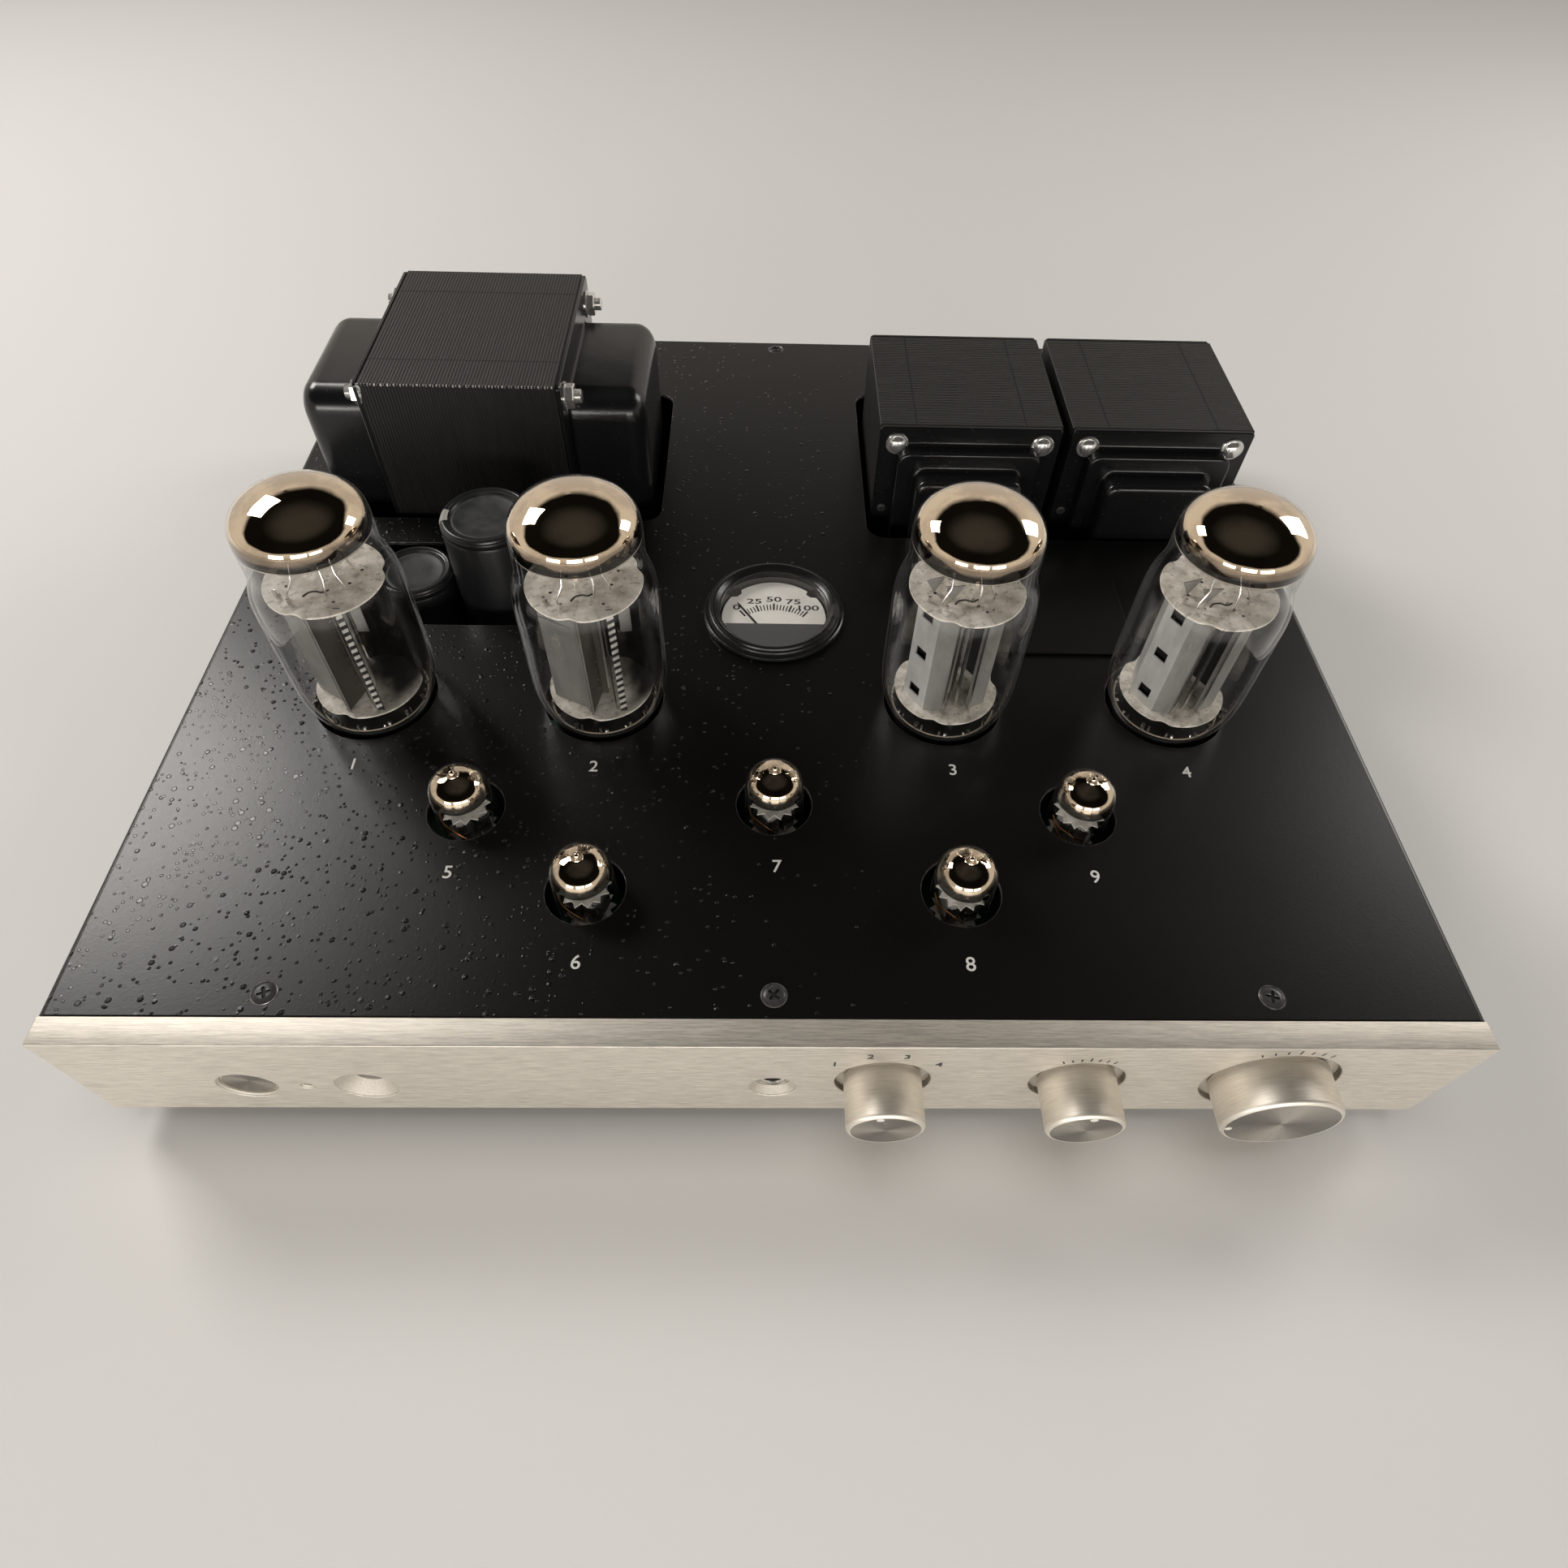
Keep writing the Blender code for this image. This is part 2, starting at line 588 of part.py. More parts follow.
def knob(kind, x, radius, reach, turn):
    """Turned knob with a drilled dimple for its mark, pressed on the spindle that it turns."""
    tail = -FRONT_THICKNESS - WALL_BACK - CONTROL_DEPTH[kind] / 2
    rim = arc((radius - KNOB_EDGE, reach - KNOB_EDGE), KNOB_EDGE, 90, 0, 2)
    profile = [(0, reach), *rim, (radius, -KNOB_SEAT), (SPINDLE_RADIUS, -KNOB_SEAT), (SPINDLE_RADIUS, tail),
               (0, tail)]
    made = turned(f"{kind}_knob", profile, ROUND_WIDE)
    dimple = turned("dimple", [(0, -KNOB_DIMPLE), (KNOB_DIMPLE, 0), (0, KNOB_DIMPLE)], ROUND_HIDDEN)
    place(dimple, (0, radius - KNOB_DIMPLE_INSET, reach + KNOB_DIMPLE / 4))
    cut(made, [dimple])
    spin = Euler((math.pi / 2, 0, 0)).to_matrix() @ Euler((0, 0, math.radians(turn))).to_matrix()
    return place(made, deck(x, -FRONT_THICKNESS, -CONTROL_DROP), spin.to_euler())


def control(name, kind, x):
    """Body of a switch or potentiometer behind the front wall, with the bushing for its spindle."""
    bore = clear(SPINDLE_RADIUS + RUN_GAP / 2, ROUND_SMALL)
    lip = -KNOB_RECESS - RUN_GAP
    face = -FRONT_THICKNESS - WALL_BACK - SEAT_GAP
    back = face - CONTROL_DEPTH[kind]
    blind = back + CONTROL_DEPTH[kind] / 4
    body = CONTROL_RADIUS[kind]
    profile = [(0, blind), (bore, blind), (bore, lip), (BUSHING_RADIUS, lip), (BUSHING_RADIUS, face),
               (body, face), (body, back), (0, back)]
    return place(turned(name, profile, ROUND_SMALL), deck(x, -FRONT_THICKNESS, -CONTROL_DROP), TURN_FORWARD)


def power_button():
    """Push button with a dished face, on the plunger of its switch."""
    face = -BUTTON_SINK
    tail = -FRONT_THICKNESS - WALL_BACK - SEAT_GAP - SWITCH_SIZE[1] / 3
    edge, rear_face = face - BUTTON_DISH, face - BUTTON_LENGTH
    profile = [(0, edge), (BUTTON_RADIUS - BUTTON_DISH, face), (BUTTON_RADIUS, edge),
               (BUTTON_RADIUS, rear_face), (PLUNGER_RADIUS, rear_face), (PLUNGER_RADIUS, tail), (0, tail)]
    made = turned("power_button", profile, ROUND_TUBE)
    return place(made, deck(BUTTON_X, -FRONT_THICKNESS, -BUTTON_DROP), TURN_FORWARD)


def power_switch():
    """Latching switch body on the front wall, with a bore for the plunger."""
    width, depth, height = SWITCH_SIZE
    near = WALL_BACK + SEAT_GAP
    made = block("power_switch", (-width / 2, near, -height / 2), (width / 2, near + depth, height / 2))
    place(made, deck(BUTTON_X, 0, -BUTTON_DROP))
    length = depth / 3 + BUTTON_TRAVEL + CUT_PAST
    corner = clear(PLUNGER_RADIUS + RUN_GAP, ROUND_HIDDEN)
    bore = cylinder("bore", corner, -near - length, CUT_PAST, ROUND_HIDDEN)
    return cut(made, [place(bore, deck(BUTTON_X, 0, -BUTTON_DROP), TURN_FORWARD)])


def indicator_lamp():
    """Lamp with a domed end in its small countersink."""
    tail = -FRONT_THICKNESS - WALL_BACK - CUT_PAST
    profile = [(0, LAMP_DOME - LAMP_SINK), (LAMP_RADIUS - LAMP_DOME / 2, LAMP_DOME / 2 - LAMP_SINK),
               (LAMP_RADIUS, -LAMP_SINK), (LAMP_RADIUS, tail), (0, tail)]
    made = turned("indicator_lamp", profile, ROUND_HIDDEN)
    return place(made, deck(LAMP_X, -FRONT_THICKNESS, -BUTTON_DROP), TURN_FORWARD)


def remote_window():
    """Dark window at the bottom of its conical recess."""
    face = -WINDOW_DEPTH - RUN_GAP
    made = cylinder("remote_window", WINDOW_RADIUS, -FRONT_THICKNESS, face, ROUND_SMALL)
    return place(made, deck(WINDOW_X, -FRONT_THICKNESS, -BUTTON_DROP), TURN_FORWARD)


def headphone_jack():
    """Socket with a round barrel in the front plate and a square body behind the wall."""
    width, depth, height = PHONES_BODY
    near = FRONT_THICKNESS + WALL_BACK + SEAT_GAP
    made = prism("headphone_jack", rectangle(width, height), -near - depth, -near)
    place(made, deck(PHONES_X, -FRONT_THICKNESS, -BUTTON_DROP), TURN_FORWARD)
    barrel = cylinder("barrel", PHONES_BARREL, -near - OVERLAP, -KNOB_RECESS + OVERLAP, ROUND_TUBE)
    bore = cylinder("bore", clear(PHONES_BORE, ROUND_SMALL), -near - PHONES_BORE_DEPTH, CUT_PAST, ROUND_SMALL)
    for tool in (barrel, bore):
        place(tool, made.location, TURN_FORWARD)
    joined(made, [barrel])
    return cut(made, [bore])


# Power tubes

def bulb_profile(wall):
    """Outline of the power tube's glass from foot to tip, moved in by the wall."""
    rise = [math.radians(30 * i) for i in range(4)]
    swell = BULB_RADIUS - BULB_FOOT
    points = [(BULB_FOOT + swell * math.sin(a), BULB_RISE * (1 - math.cos(a))) for a in rise]
    for i in range(3):
        ease = (1 + math.cos(math.pi * i / 2)) / 2
        level = BULB_SHOULDER + BULB_SHOULDER_RUN * i / 2
        points.append((BULB_DOME + (BULB_RADIUS - BULB_DOME) * ease, level))
    height = BULB_HEIGHT - BULB_DOME_START
    dome = [math.radians(22.5 * i) for i in range(5)]
    points += [(BULB_DOME * math.cos(a), BULB_DOME_START + height * math.sin(a)) for a in dome]
    inner = [(radius - wall, z + SEAT_GAP) for radius, z in points[:-1]]
    return inner + [(0, points[-1][1] + SEAT_GAP - wall)]


def bulb_glass(name, x):
    """Bulb open at its foot, where the base closes it."""
    outer = bulb_profile(0)
    inner = bulb_profile(BULB_WALL)
    made = turned(name, outer[::-1] + inner[:-1:2] + inner[-1:], ROUND_TUBE)
    return place(made, deck(x, POWER_Y))


def anode_outline(wing, inset):
    """Plan of the anode: a flat-sided box with pointed ends, each with a wing of sheet."""
    length, width, flat = ANODE_LENGTH / 2 - inset, ANODE_WIDTH / 2 - inset, ANODE_FLAT / 2
    if not wing:
        return [(length, 0), (flat, width), (-flat, width), (-length, 0), (-flat, -width), (flat, -width)]
    sheet, tip = ANODE_WALL / 2, length + wing
    half = [(tip, sheet), (length, sheet), (flat, width), (-flat, width), (-length, sheet), (-tip, sheet)]
    return half + [(-x, -y) for x, y in half]


def bulb_electrodes(name, x, turn):
    """Anode with windows between two insulating discs, with the cathode, grid rods and stem."""
    low, high = LOWER_MICA + SEAT_GAP, UPPER_MICA
    made = prism(name, anode_outline(ANODE_WING, 0), low - OVERLAP, high + OVERLAP)
    hollow = prism("hollow", anode_outline(0, ANODE_WALL + OVERLAP), low - CUT_PAST, high + CUT_PAST)
    tools = [hollow]
    wide, tall = ANODE_WINDOW
    for share in ANODE_WINDOW_LEVELS:
        middle = low + (high - low) * share
        tools.append(block("window", (-wide / 2, -ANODE_WIDTH, middle - tall / 2),
                           (wide / 2, ANODE_WIDTH, middle + tall / 2)))
    cut(made, tools)
    parts = [cylinder("mica", LOWER_MICA_RADIUS, low - MICA_SHEET, low, ROUND_SMALL),
             cylinder("mica", UPPER_MICA_RADIUS, high, high + MICA_SHEET, ROUND_SMALL),
             cylinder("cathode", CATHODE_RADIUS, low - OVERLAP, high + OVERLAP, ROUND_PIN),
             cylinder("stem", STEM_RADIUS, 2 * SEAT_GAP, low - MICA_SHEET + OVERLAP, ROUND_HIDDEN)]
    for side in (-1, 1):
        parts.append(cylinder("rod", ROD_RADIUS, low - OVERLAP, high + ROD_ABOVE, ROUND_PIN,
                              (side * ROD_SPREAD, side * ROD_RADIUS)))
    joined(made, parts)
    return place(made, deck(x, POWER_Y), Euler((0, 0, math.radians(turn))))


def bulb_base(name, x):
    """Moulded base with eight pins round a centre key."""
    low = -COLLAR_HEIGHT - SKIRT_HEIGHT
    profile = [(0, 0), (COLLAR_RADIUS, 0), (COLLAR_RADIUS, -COLLAR_HEIGHT), (SKIRT_RADIUS, -COLLAR_HEIGHT),
               (SKIRT_RADIUS, low), (OCTAL_KEY, low), (OCTAL_KEY, low - OCTAL_KEY_LENGTH),
               (0, low - OCTAL_KEY_LENGTH)]
    made = turned(name, profile, ROUND_HIDDEN)
    pins = [cylinder("pin", OCTAL_PIN, low - OCTAL_PIN_LENGTH, low + OVERLAP, ROUND_PIN, centre)
            for centre in circle(OCTAL_PIN_CIRCLE, 8)]
    joined(made, pins)
    return place(made, deck(x, POWER_Y))


# Small tubes

def driver_glass(name, site):
    """Tubular glass with a round top and the sealed tip of its exhaust tube, open at its foot."""
    foot_z, spring = DRIVER_TOP - DRIVER_LENGTH, DRIVER_TOP - DRIVER_RADIUS
    dome = [math.radians(a) for a in (0, 30, 60)]
    tip = [(DRIVER_TIP_RADIUS, DRIVER_TOP), (DRIVER_TIP_RADIUS * 0.8, DRIVER_TOP + DRIVER_TIP * 0.6),
           (0, DRIVER_TOP + DRIVER_TIP)]
    outer = [(DRIVER_RADIUS, foot_z)]
    outer += [(DRIVER_RADIUS * math.cos(a), spring + DRIVER_RADIUS * math.sin(a)) for a in dome] + tip
    bore = DRIVER_RADIUS - DRIVER_WALL
    inner = [(0, spring + bore)]
    inner += [(bore * math.cos(a), spring + bore * math.sin(a)) for a in dome[::-1]] + [(bore, foot_z)]
    return place(turned(name, outer[::-1] + inner[::-1], ROUND_SMALL), deck(*site))


def star(radius, teeth, depth):
    """Outline of a toothed disc."""
    points = circle(1.0, 2 * teeth)
    reach = (radius, radius - depth)
    return [(x * reach[i % 2], y * reach[i % 2]) for i, (x, y) in enumerate(points)]


def driver_electrodes(name, site, turn):
    """Glass button with its pins, and two anodes held between toothed insulating discs."""
    foot_z = DRIVER_TOP - DRIVER_LENGTH
    high = DRIVER_TOP - DRIVER_MICA_DROP
    wide, long, tall = DRIVER_ANODE
    low = high - tall
    made = prism(name, star(DRIVER_MICA_RADIUS, DRIVER_MICA_TEETH, DRIVER_WALL), high, high + MICA_SHEET)
    button = (DRIVER_RADIUS - DRIVER_WALL) * math.cos(math.pi / ROUND_SMALL) - SEAT_GAP
    parts = [cylinder("mica", DRIVER_MICA_RADIUS, low - MICA_SHEET, low, ROUND_HIDDEN),
             cylinder("button", button, foot_z, foot_z + 3 * MICA_SHEET, ROUND_HIDDEN),
             cylinder("stem", ROD_RADIUS * 2, foot_z + MICA_SHEET, low - OVERLAP, ROUND_PIN)]
    for side in (-1, 1):
        centre = (side * DRIVER_ANODE_SPREAD / 2, 0)
        parts.append(prism("anode", rectangle(wide, long, centre=centre), low - OVERLAP, high + OVERLAP))
    for i in range(NOVAL_PINS):
        angle = math.tau * (i + 0.5) / (NOVAL_PINS + 1)
        centre = (NOVAL_PIN_CIRCLE * math.sin(angle), -NOVAL_PIN_CIRCLE * math.cos(angle))
        low_end, high_end = foot_z - NOVAL_PIN_LENGTH, foot_z + OVERLAP
        parts.append(cylinder("pin", NOVAL_PIN, low_end, high_end, ROUND_PIN, centre))
    joined(made, parts)
    return place(made, deck(*site), Euler((0, 0, math.radians(turn))))


def socket(radius, top, bottom, pin_circle, pin_radius, pin_length, key):
    """Tube socket: a ring channel takes the pins and a centre hole the key, or one well takes the pins."""
    inner, outer = pin_circle - pin_radius - SOCKET_GAP, pin_circle + pin_radius + SOCKET_GAP
    channel = top - pin_length - SOCKET_GAP
    hole = key + SOCKET_GAP
    key_floor = top - OCTAL_KEY_LENGTH - SOCKET_GAP
    profile = [(0, bottom), (radius, bottom), (radius, top), (outer, top), (outer, channel)]
    if key:
        profile += [(inner, channel), (inner, top), (hole, top), (hole, key_floor), (0, key_floor)]
    else:
        profile.append((0, channel))
    return turned("socket", profile, ROUND_HIDDEN)


def circuit_board():
    """Board that carries all the tube sockets, on posts above the floor."""
    half = POWER_X[3] + OCTAL_SOCKET + BOARD_MARGIN
    front = min(y for _, y in DRIVER_SITES) - NOVAL_SOCKET - BOARD_MARGIN
    back = POWER_Y + OCTAL_SOCKET + BOARD_MARGIN
    low = BOARD_TOP - BOARD_SHEET
    made = block("circuit_board", (-half, front, low), (half, back, BOARD_TOP))
    place(made, deck(0, 0))
    parts = []
    for x in POWER_X:
        part = socket(OCTAL_SOCKET, SOCKET_TOP, BOARD_TOP - OVERLAP, OCTAL_PIN_CIRCLE, OCTAL_PIN,
                      OCTAL_PIN_LENGTH, OCTAL_KEY)
        parts.append(place(part, deck(x, POWER_Y)))
    for site in DRIVER_SITES:
        part = socket(NOVAL_SOCKET, BOARD_TOP + NOVAL_SOCKET_HEIGHT, BOARD_TOP - OVERLAP, NOVAL_PIN_CIRCLE,
                      NOVAL_PIN, NOVAL_PIN_LENGTH, 0)
        parts.append(place(part, deck(*site)))
    for x in (-half + POST_INSET, half - POST_INSET):
        for y in (front + POST_INSET, back - POST_INSET):
            post = cylinder("post", POST_RADIUS, FLOOR + SEAT_GAP, low + OVERLAP, ROUND_PIN, (x, y))
            parts.append(place(post, deck(0, 0)))
    return joined(made, parts)


# Transformers

def frame_ring(width, height, radius, level):
    return [(x, y, level) for x, y in rectangle(width, height, radius, 2)]


def core(name, unit, stack, reach, inset, where, turn):
    """Stack of laminations, with the coil standing out of both faces inside the bells.

    Local Z is along the stack.
    """
    width, height = 5 * unit, 6 * unit
    coil = [size - 2 * (inset + BELL_SHEET + COIL_GAP) for size in (width, height)]
    edge = BELL_SHEET / 2
    face, end = stack / 2, stack / 2 + reach
    round_coil = BELL_CORNER - BELL_SHEET - COIL_GAP
    rings = [frame_ring(*coil, round_coil, -end), frame_ring(*coil, round_coil, -face),
             frame_ring(width, height, edge, -face), frame_ring(width, height, edge, face),
             frame_ring(*coil, round_coil, face), frame_ring(*coil, round_coil, end)]
    return place(lofted(name, rings), where, turn)


def bell(name, unit, steps, rounding, where, turn):
    """Drawn cover over one end of a transformer, open towards the core.

    Each step is an inset from the edge of the core and a depth; the last has a round rim.
    """
    width, height = 5 * unit, 6 * unit
    sheet = BELL_SHEET
    base = 0.0
    outer = [frame_ring(width, height, sheet, base), frame_ring(width, height, sheet, base + sheet)]
    inner = []
    for inset, depth in steps:
        size = (width - 2 * inset, height - 2 * inset)
        room = (size[0] - 2 * sheet, size[1] - 2 * sheet)
        outer.append(frame_ring(*size, BELL_CORNER, base + sheet))
        inner.append(frame_ring(*room, BELL_CORNER - sheet, base))
        last = depth == steps[-1][1]
        rim = rounding if last else sheet
        for angle in ((0, 45, 90) if last else (0, 90)):
            back = rim * (1 - math.cos(math.radians(angle)))
            level = depth + sheet - rim * (1 - math.sin(math.radians(angle)))
            corner = BELL_CORNER - back * BELL_RIM_CORNER
            outer.append(frame_ring(size[0] - 2 * back, size[1] - 2 * back, corner, level))
        inner.append(frame_ring(*room, BELL_CORNER - sheet, depth - (rim / 2 if last else 0)))
        base = depth
    return place(lofted(name, inner[::-1] + outer), where, turn)


def mains_transformer():
    """Laminations stacked across the amplifier, with a bell at the left and the right."""
    middle = (MAINS_FRONT + 2.5 * MAINS_UNIT, transformer_height(MAINS_UNIT) - 3 * MAINS_UNIT)
    upright = Euler((math.pi / 2, 0, math.pi / 2))
    core("power_transformer_core", MAINS_UNIT, MAINS_STACK, MAINS_COIL_REACH, MAINS_BELL_INSET,
         deck(MAINS_X, *middle), upright)
    for side, where in ((-1, "left"), (1, "right")):
        turn = Euler((math.pi / 2, 0, side * math.pi / 2))
        x = MAINS_X + side * (MAINS_STACK / 2 + SEAT_GAP)
        steps = ((MAINS_BELL_INSET, MAINS_BELL_DEPTH),)
        bell(f"power_transformer_bell_{where}", MAINS_UNIT, steps, MAINS_BELL_ROUND, deck(x, *middle), turn)


def output_transformer(side, x):
    """Laminations stacked front to back, with a stepped bell at the front and the back."""
    height = transformer_height(OUTPUT_UNIT) - 3 * OUTPUT_UNIT
    steps = ((OUTPUT_STEP_INSET, OUTPUT_STEP_DEPTH), (OUTPUT_BELL_INSET, OUTPUT_BELL_DEPTH))
    name = f"output_transformer_{side}"
    core(f"{name}_core", OUTPUT_UNIT, OUTPUT_STACK, OUTPUT_COIL_REACH, OUTPUT_BELL_INSET,
         deck(x, OUTPUT_FRONT + OUTPUT_STACK / 2, height), TURN_FORWARD)
    front = OUTPUT_FRONT - SEAT_GAP
    back = OUTPUT_FRONT + OUTPUT_STACK + SEAT_GAP
    bell(f"{name}_bell_front", OUTPUT_UNIT, steps, OUTPUT_BELL_ROUND, deck(x, front, height), TURN_FORWARD)
    bell(f"{name}_bell_rear", OUTPUT_UNIT, steps, OUTPUT_BELL_ROUND, deck(x, back, height), TURN_BACK)


def capacitor(kind, x, y, radius, top):
    """Sleeved can with a rolled rim round its sunk top disc, standing on the floor."""
    bottom = FLOOR + SEAT_GAP
    rim, disc = CAPACITOR_RIM, radius * CAPACITOR_DISC
    profile = [(0, top - rim), (disc, top - rim), (disc + rim, top), (radius - rim, top)]
    profile += arc((radius - rim, top - rim), rim, 45, 0, 1) + [(radius, bottom), (0, bottom)]
    return place(turned(f"capacitor_{kind}", profile, ROUND_TUBE), deck(x, y))


# Meter

def meter_case():
    """Round case below the deck, with its stepped bezel above and a cover over the front of the movement."""
    seat = METER_TOP - METER_GLASS_SHEET - 2 * SEAT_GAP
    floor = -METER_DIAL_DROP - METER_DIAL_SHEET - SEAT_GAP
    profile = [(0, -METER_DEPTH), (METER_BODY, -METER_DEPTH), (METER_BODY, SEAT_GAP),
               (METER_FLANGE, SEAT_GAP), (METER_FLANGE, METER_SHOULDER / 2), (METER_BEZEL, METER_SHOULDER),
               (METER_RING, METER_TOP), (METER_GLASS, METER_TOP), (METER_GLASS, seat), (METER_BORE, seat),
               (METER_BORE, floor), (0, floor)]
    made = place(turned("meter_case", profile, ROUND_TUBE), deck(0, METER_Y))
    top = COVER_RISE - METER_DIAL_DROP
    reach = METER_BORE + OVERLAP
    side = math.degrees(math.asin(COVER_EDGE / reach))
    cover = prism("cover", arc((0, 0), reach, 180 - side, 360 + side, 10), top - COVER_SHEET, top)
    return joined(made, [place(cover, deck(0, METER_Y))])


def meter_dial():
    """Printed plate with a notch at each shoulder."""
    level = -METER_DIAL_DROP - METER_DIAL_SHEET
    radius, notch = METER_DIAL_RADIUS, METER_DIAL_RADIUS - METER_DIAL_NOTCH
    middle = (0, 0)
    outline = arc(middle, radius, 48, 132, 8) + arc(middle, notch, 136, 144, 1)
    outline += arc(middle, radius, 148, 212, 5) + arc(middle, radius, 328, 392, 5)
    outline += arc(middle, notch, 396, 404, 1)
    made = prism("meter_dial", outline, level, level + METER_DIAL_SHEET)
    return place(made, deck(0, METER_Y))


def meter_needle():
    """Pointer on its hub, with its origin on the pivot."""
    low = -METER_DIAL_DROP + SEAT_GAP
    high = COVER_RISE - METER_DIAL_DROP - COVER_SHEET - SEAT_GAP
    sheet = (high - low) / 3
    made = cylinder("meter_needle", NEEDLE_HUB, low, high, 12)
    half = NEEDLE_WIDTH / 2
    tail, tip = -2 * NEEDLE_HUB, NEEDLE_LENGTH
    outline = ((-half, tail), (half, tail), (half / 2, tip), (-half / 2, tip))
    joined(made, [prism("pointer", outline, low + sheet, low + 2 * sheet)])
    return place(made, deck(0, METER_Y + NEEDLE_PIVOT), Euler((0, 0, math.radians(NEEDLE_REST))))


def meter_window():
    top = METER_TOP - SEAT_GAP
    made = cylinder("meter_window", METER_GLASS - SEAT_GAP, top - METER_GLASS_SHEET, top, ROUND_TUBE)
    return place(made, deck(0, METER_Y))


# Rear connectors: local Z runs out of the rear wall

def rear(made, x, drop):
    return place(made, deck(x, REAR_FACE + SEAT_GAP, -drop), TURN_BACK)


def mains_inlet():
    """Mains socket with three blades in its cavity."""
    made = prism("mains_inlet", rectangle(*INLET_FLANGE, INLET_CORNER), 0, INLET_SHEET)
    rear(made, INLET_X, REAR_DROP)
    body = prism("body", rectangle(*INLET_BODY), -INLET_BODY_DEPTH, OVERLAP)
    floor = INLET_SHEET - INLET_CAVITY_DEPTH
    cavity = prism("cavity", rectangle(*INLET_CAVITY, INLET_CORNER), floor, INLET_SHEET + CUT_PAST)
    joined(made, [rear(body, INLET_X, REAR_DROP)])
    cut(made, [rear(cavity, INLET_X, REAR_DROP)])
    blades = []
    for centre in INLET_BLADES:
        blade = prism("blade", rectangle(*INLET_PIN, centre=centre), floor - OVERLAP, INLET_SHEET - CUT_PAST)
        blades.append(rear(blade, INLET_X, REAR_DROP))
    return joined(made, blades)


def jack_body():
    return (JACK_COLUMNS * JACK_PITCH[0], 2 * JACK_PITCH[1])


def line_jacks():
    """Two rows of line sockets on one moulded plate."""
    width, height = jack_body()
    made = prism("line_jacks", rectangle(width + 2 * JACK_RIM, height + 2 * JACK_RIM), 0, JACK_PLATE)
    rear(made, JACKS_X, REAR_DROP)
    parts = [prism("body", rectangle(width, height), -JACK_BACK, OVERLAP)]
    bores = []
    for column in range(JACK_COLUMNS):
        for row in (-0.5, 0.5):
            centre = ((column - (JACK_COLUMNS - 1) / 2) * JACK_PITCH[0], row * JACK_PITCH[1])
            low, high = JACK_PLATE - OVERLAP, JACK_PLATE + JACK_LENGTH
            parts.append(cylinder("barrel", JACK_RADIUS, low, high, ROUND_HIDDEN, centre))
            bores.append(cylinder("bore", JACK_BORE, JACK_PLATE, high + CUT_PAST, ROUND_PIN, centre))
    joined(made, [rear(part, JACKS_X, REAR_DROP) for part in parts])
    return cut(made, [rear(bore, JACKS_X, REAR_DROP) for bore in bores])


def terminal_body():
    return (TERMINAL_WAYS * TERMINAL_PITCH - 2 * TERMINAL_FENCE_SHEET, TERMINAL_BODY)


def speaker_terminals():
    """Barrier strip with a screw between each pair of fences."""
    width = TERMINAL_WAYS * TERMINAL_PITCH + TERMINAL_FENCE_SHEET
    made = prism("speaker_terminals", rectangle(width, TERMINAL_DEPTH), 0, TERMINAL_BASE)
    rear(made, TERMINAL_X, REAR_DROP)
    parts = [prism("body", rectangle(*terminal_body()), -TERMINAL_BACK, OVERLAP)]
    for i in range(TERMINAL_WAYS + 1):
        x = (i - TERMINAL_WAYS / 2) * TERMINAL_PITCH
        outline = rectangle(TERMINAL_FENCE_SHEET, TERMINAL_DEPTH - CUT_PAST, centre=(x, 0))
        parts.append(prism("fence", outline, TERMINAL_BASE - OVERLAP, TERMINAL_FENCE))
    for i in range(TERMINAL_WAYS):
        x = (i + 0.5 - TERMINAL_WAYS / 2) * TERMINAL_PITCH
        top = TERMINAL_BASE + TERMINAL_SCREW_HEIGHT
        parts.append(cylinder("screw", TERMINAL_SCREW, TERMINAL_BASE - OVERLAP, top, ROUND_HIDDEN, (x, 0)))
    return joined(made, [rear(part, TERMINAL_X, REAR_DROP) for part in parts])


# Assembly

def build():
    top_cover()
    chassis_tray()
    faceplate()
    access_cover()
    for end, row in ((-1, "front"), (1, "rear")):
        for side, hand in ((-1, "left"), (1, "right")):
            foot(f"foot_{row}_{hand}", side, end)
    for i, (x, turn) in enumerate(zip(POWER_X, POWER_TURN), 1):
        bulb_glass(f"power_tube_{i}_glass", x)
        bulb_electrodes(f"power_tube_{i}_electrodes", x, turn)
        bulb_base(f"power_tube_{i}_base", x)
    for i, (site, turn) in enumerate(zip(DRIVER_SITES, DRIVER_TURN), 1):
        driver_glass(f"driver_tube_{i}_glass", site)
        driver_electrodes(f"driver_tube_{i}_electrodes", site, turn)
    circuit_board()
    mains_transformer()
    for side, x in zip(("left", "right"), OUTPUT_X):
        output_transformer(side, x)
    for can in CAPACITORS:
        capacitor(*can)
    meter_case()
    meter_dial()
    meter_needle()
    meter_window()
    for kind, x, radius, reach, turn in KNOBS:
        knob(kind, x, radius, reach, turn)
        control(f"{kind}_switch" if kind == "selector" else f"{kind}_pot", kind, x)
    power_button()
    power_switch()
    indicator_lamp()
    remote_window()
    headphone_jack()
    mains_inlet()
    line_jacks()
    speaker_terminals()


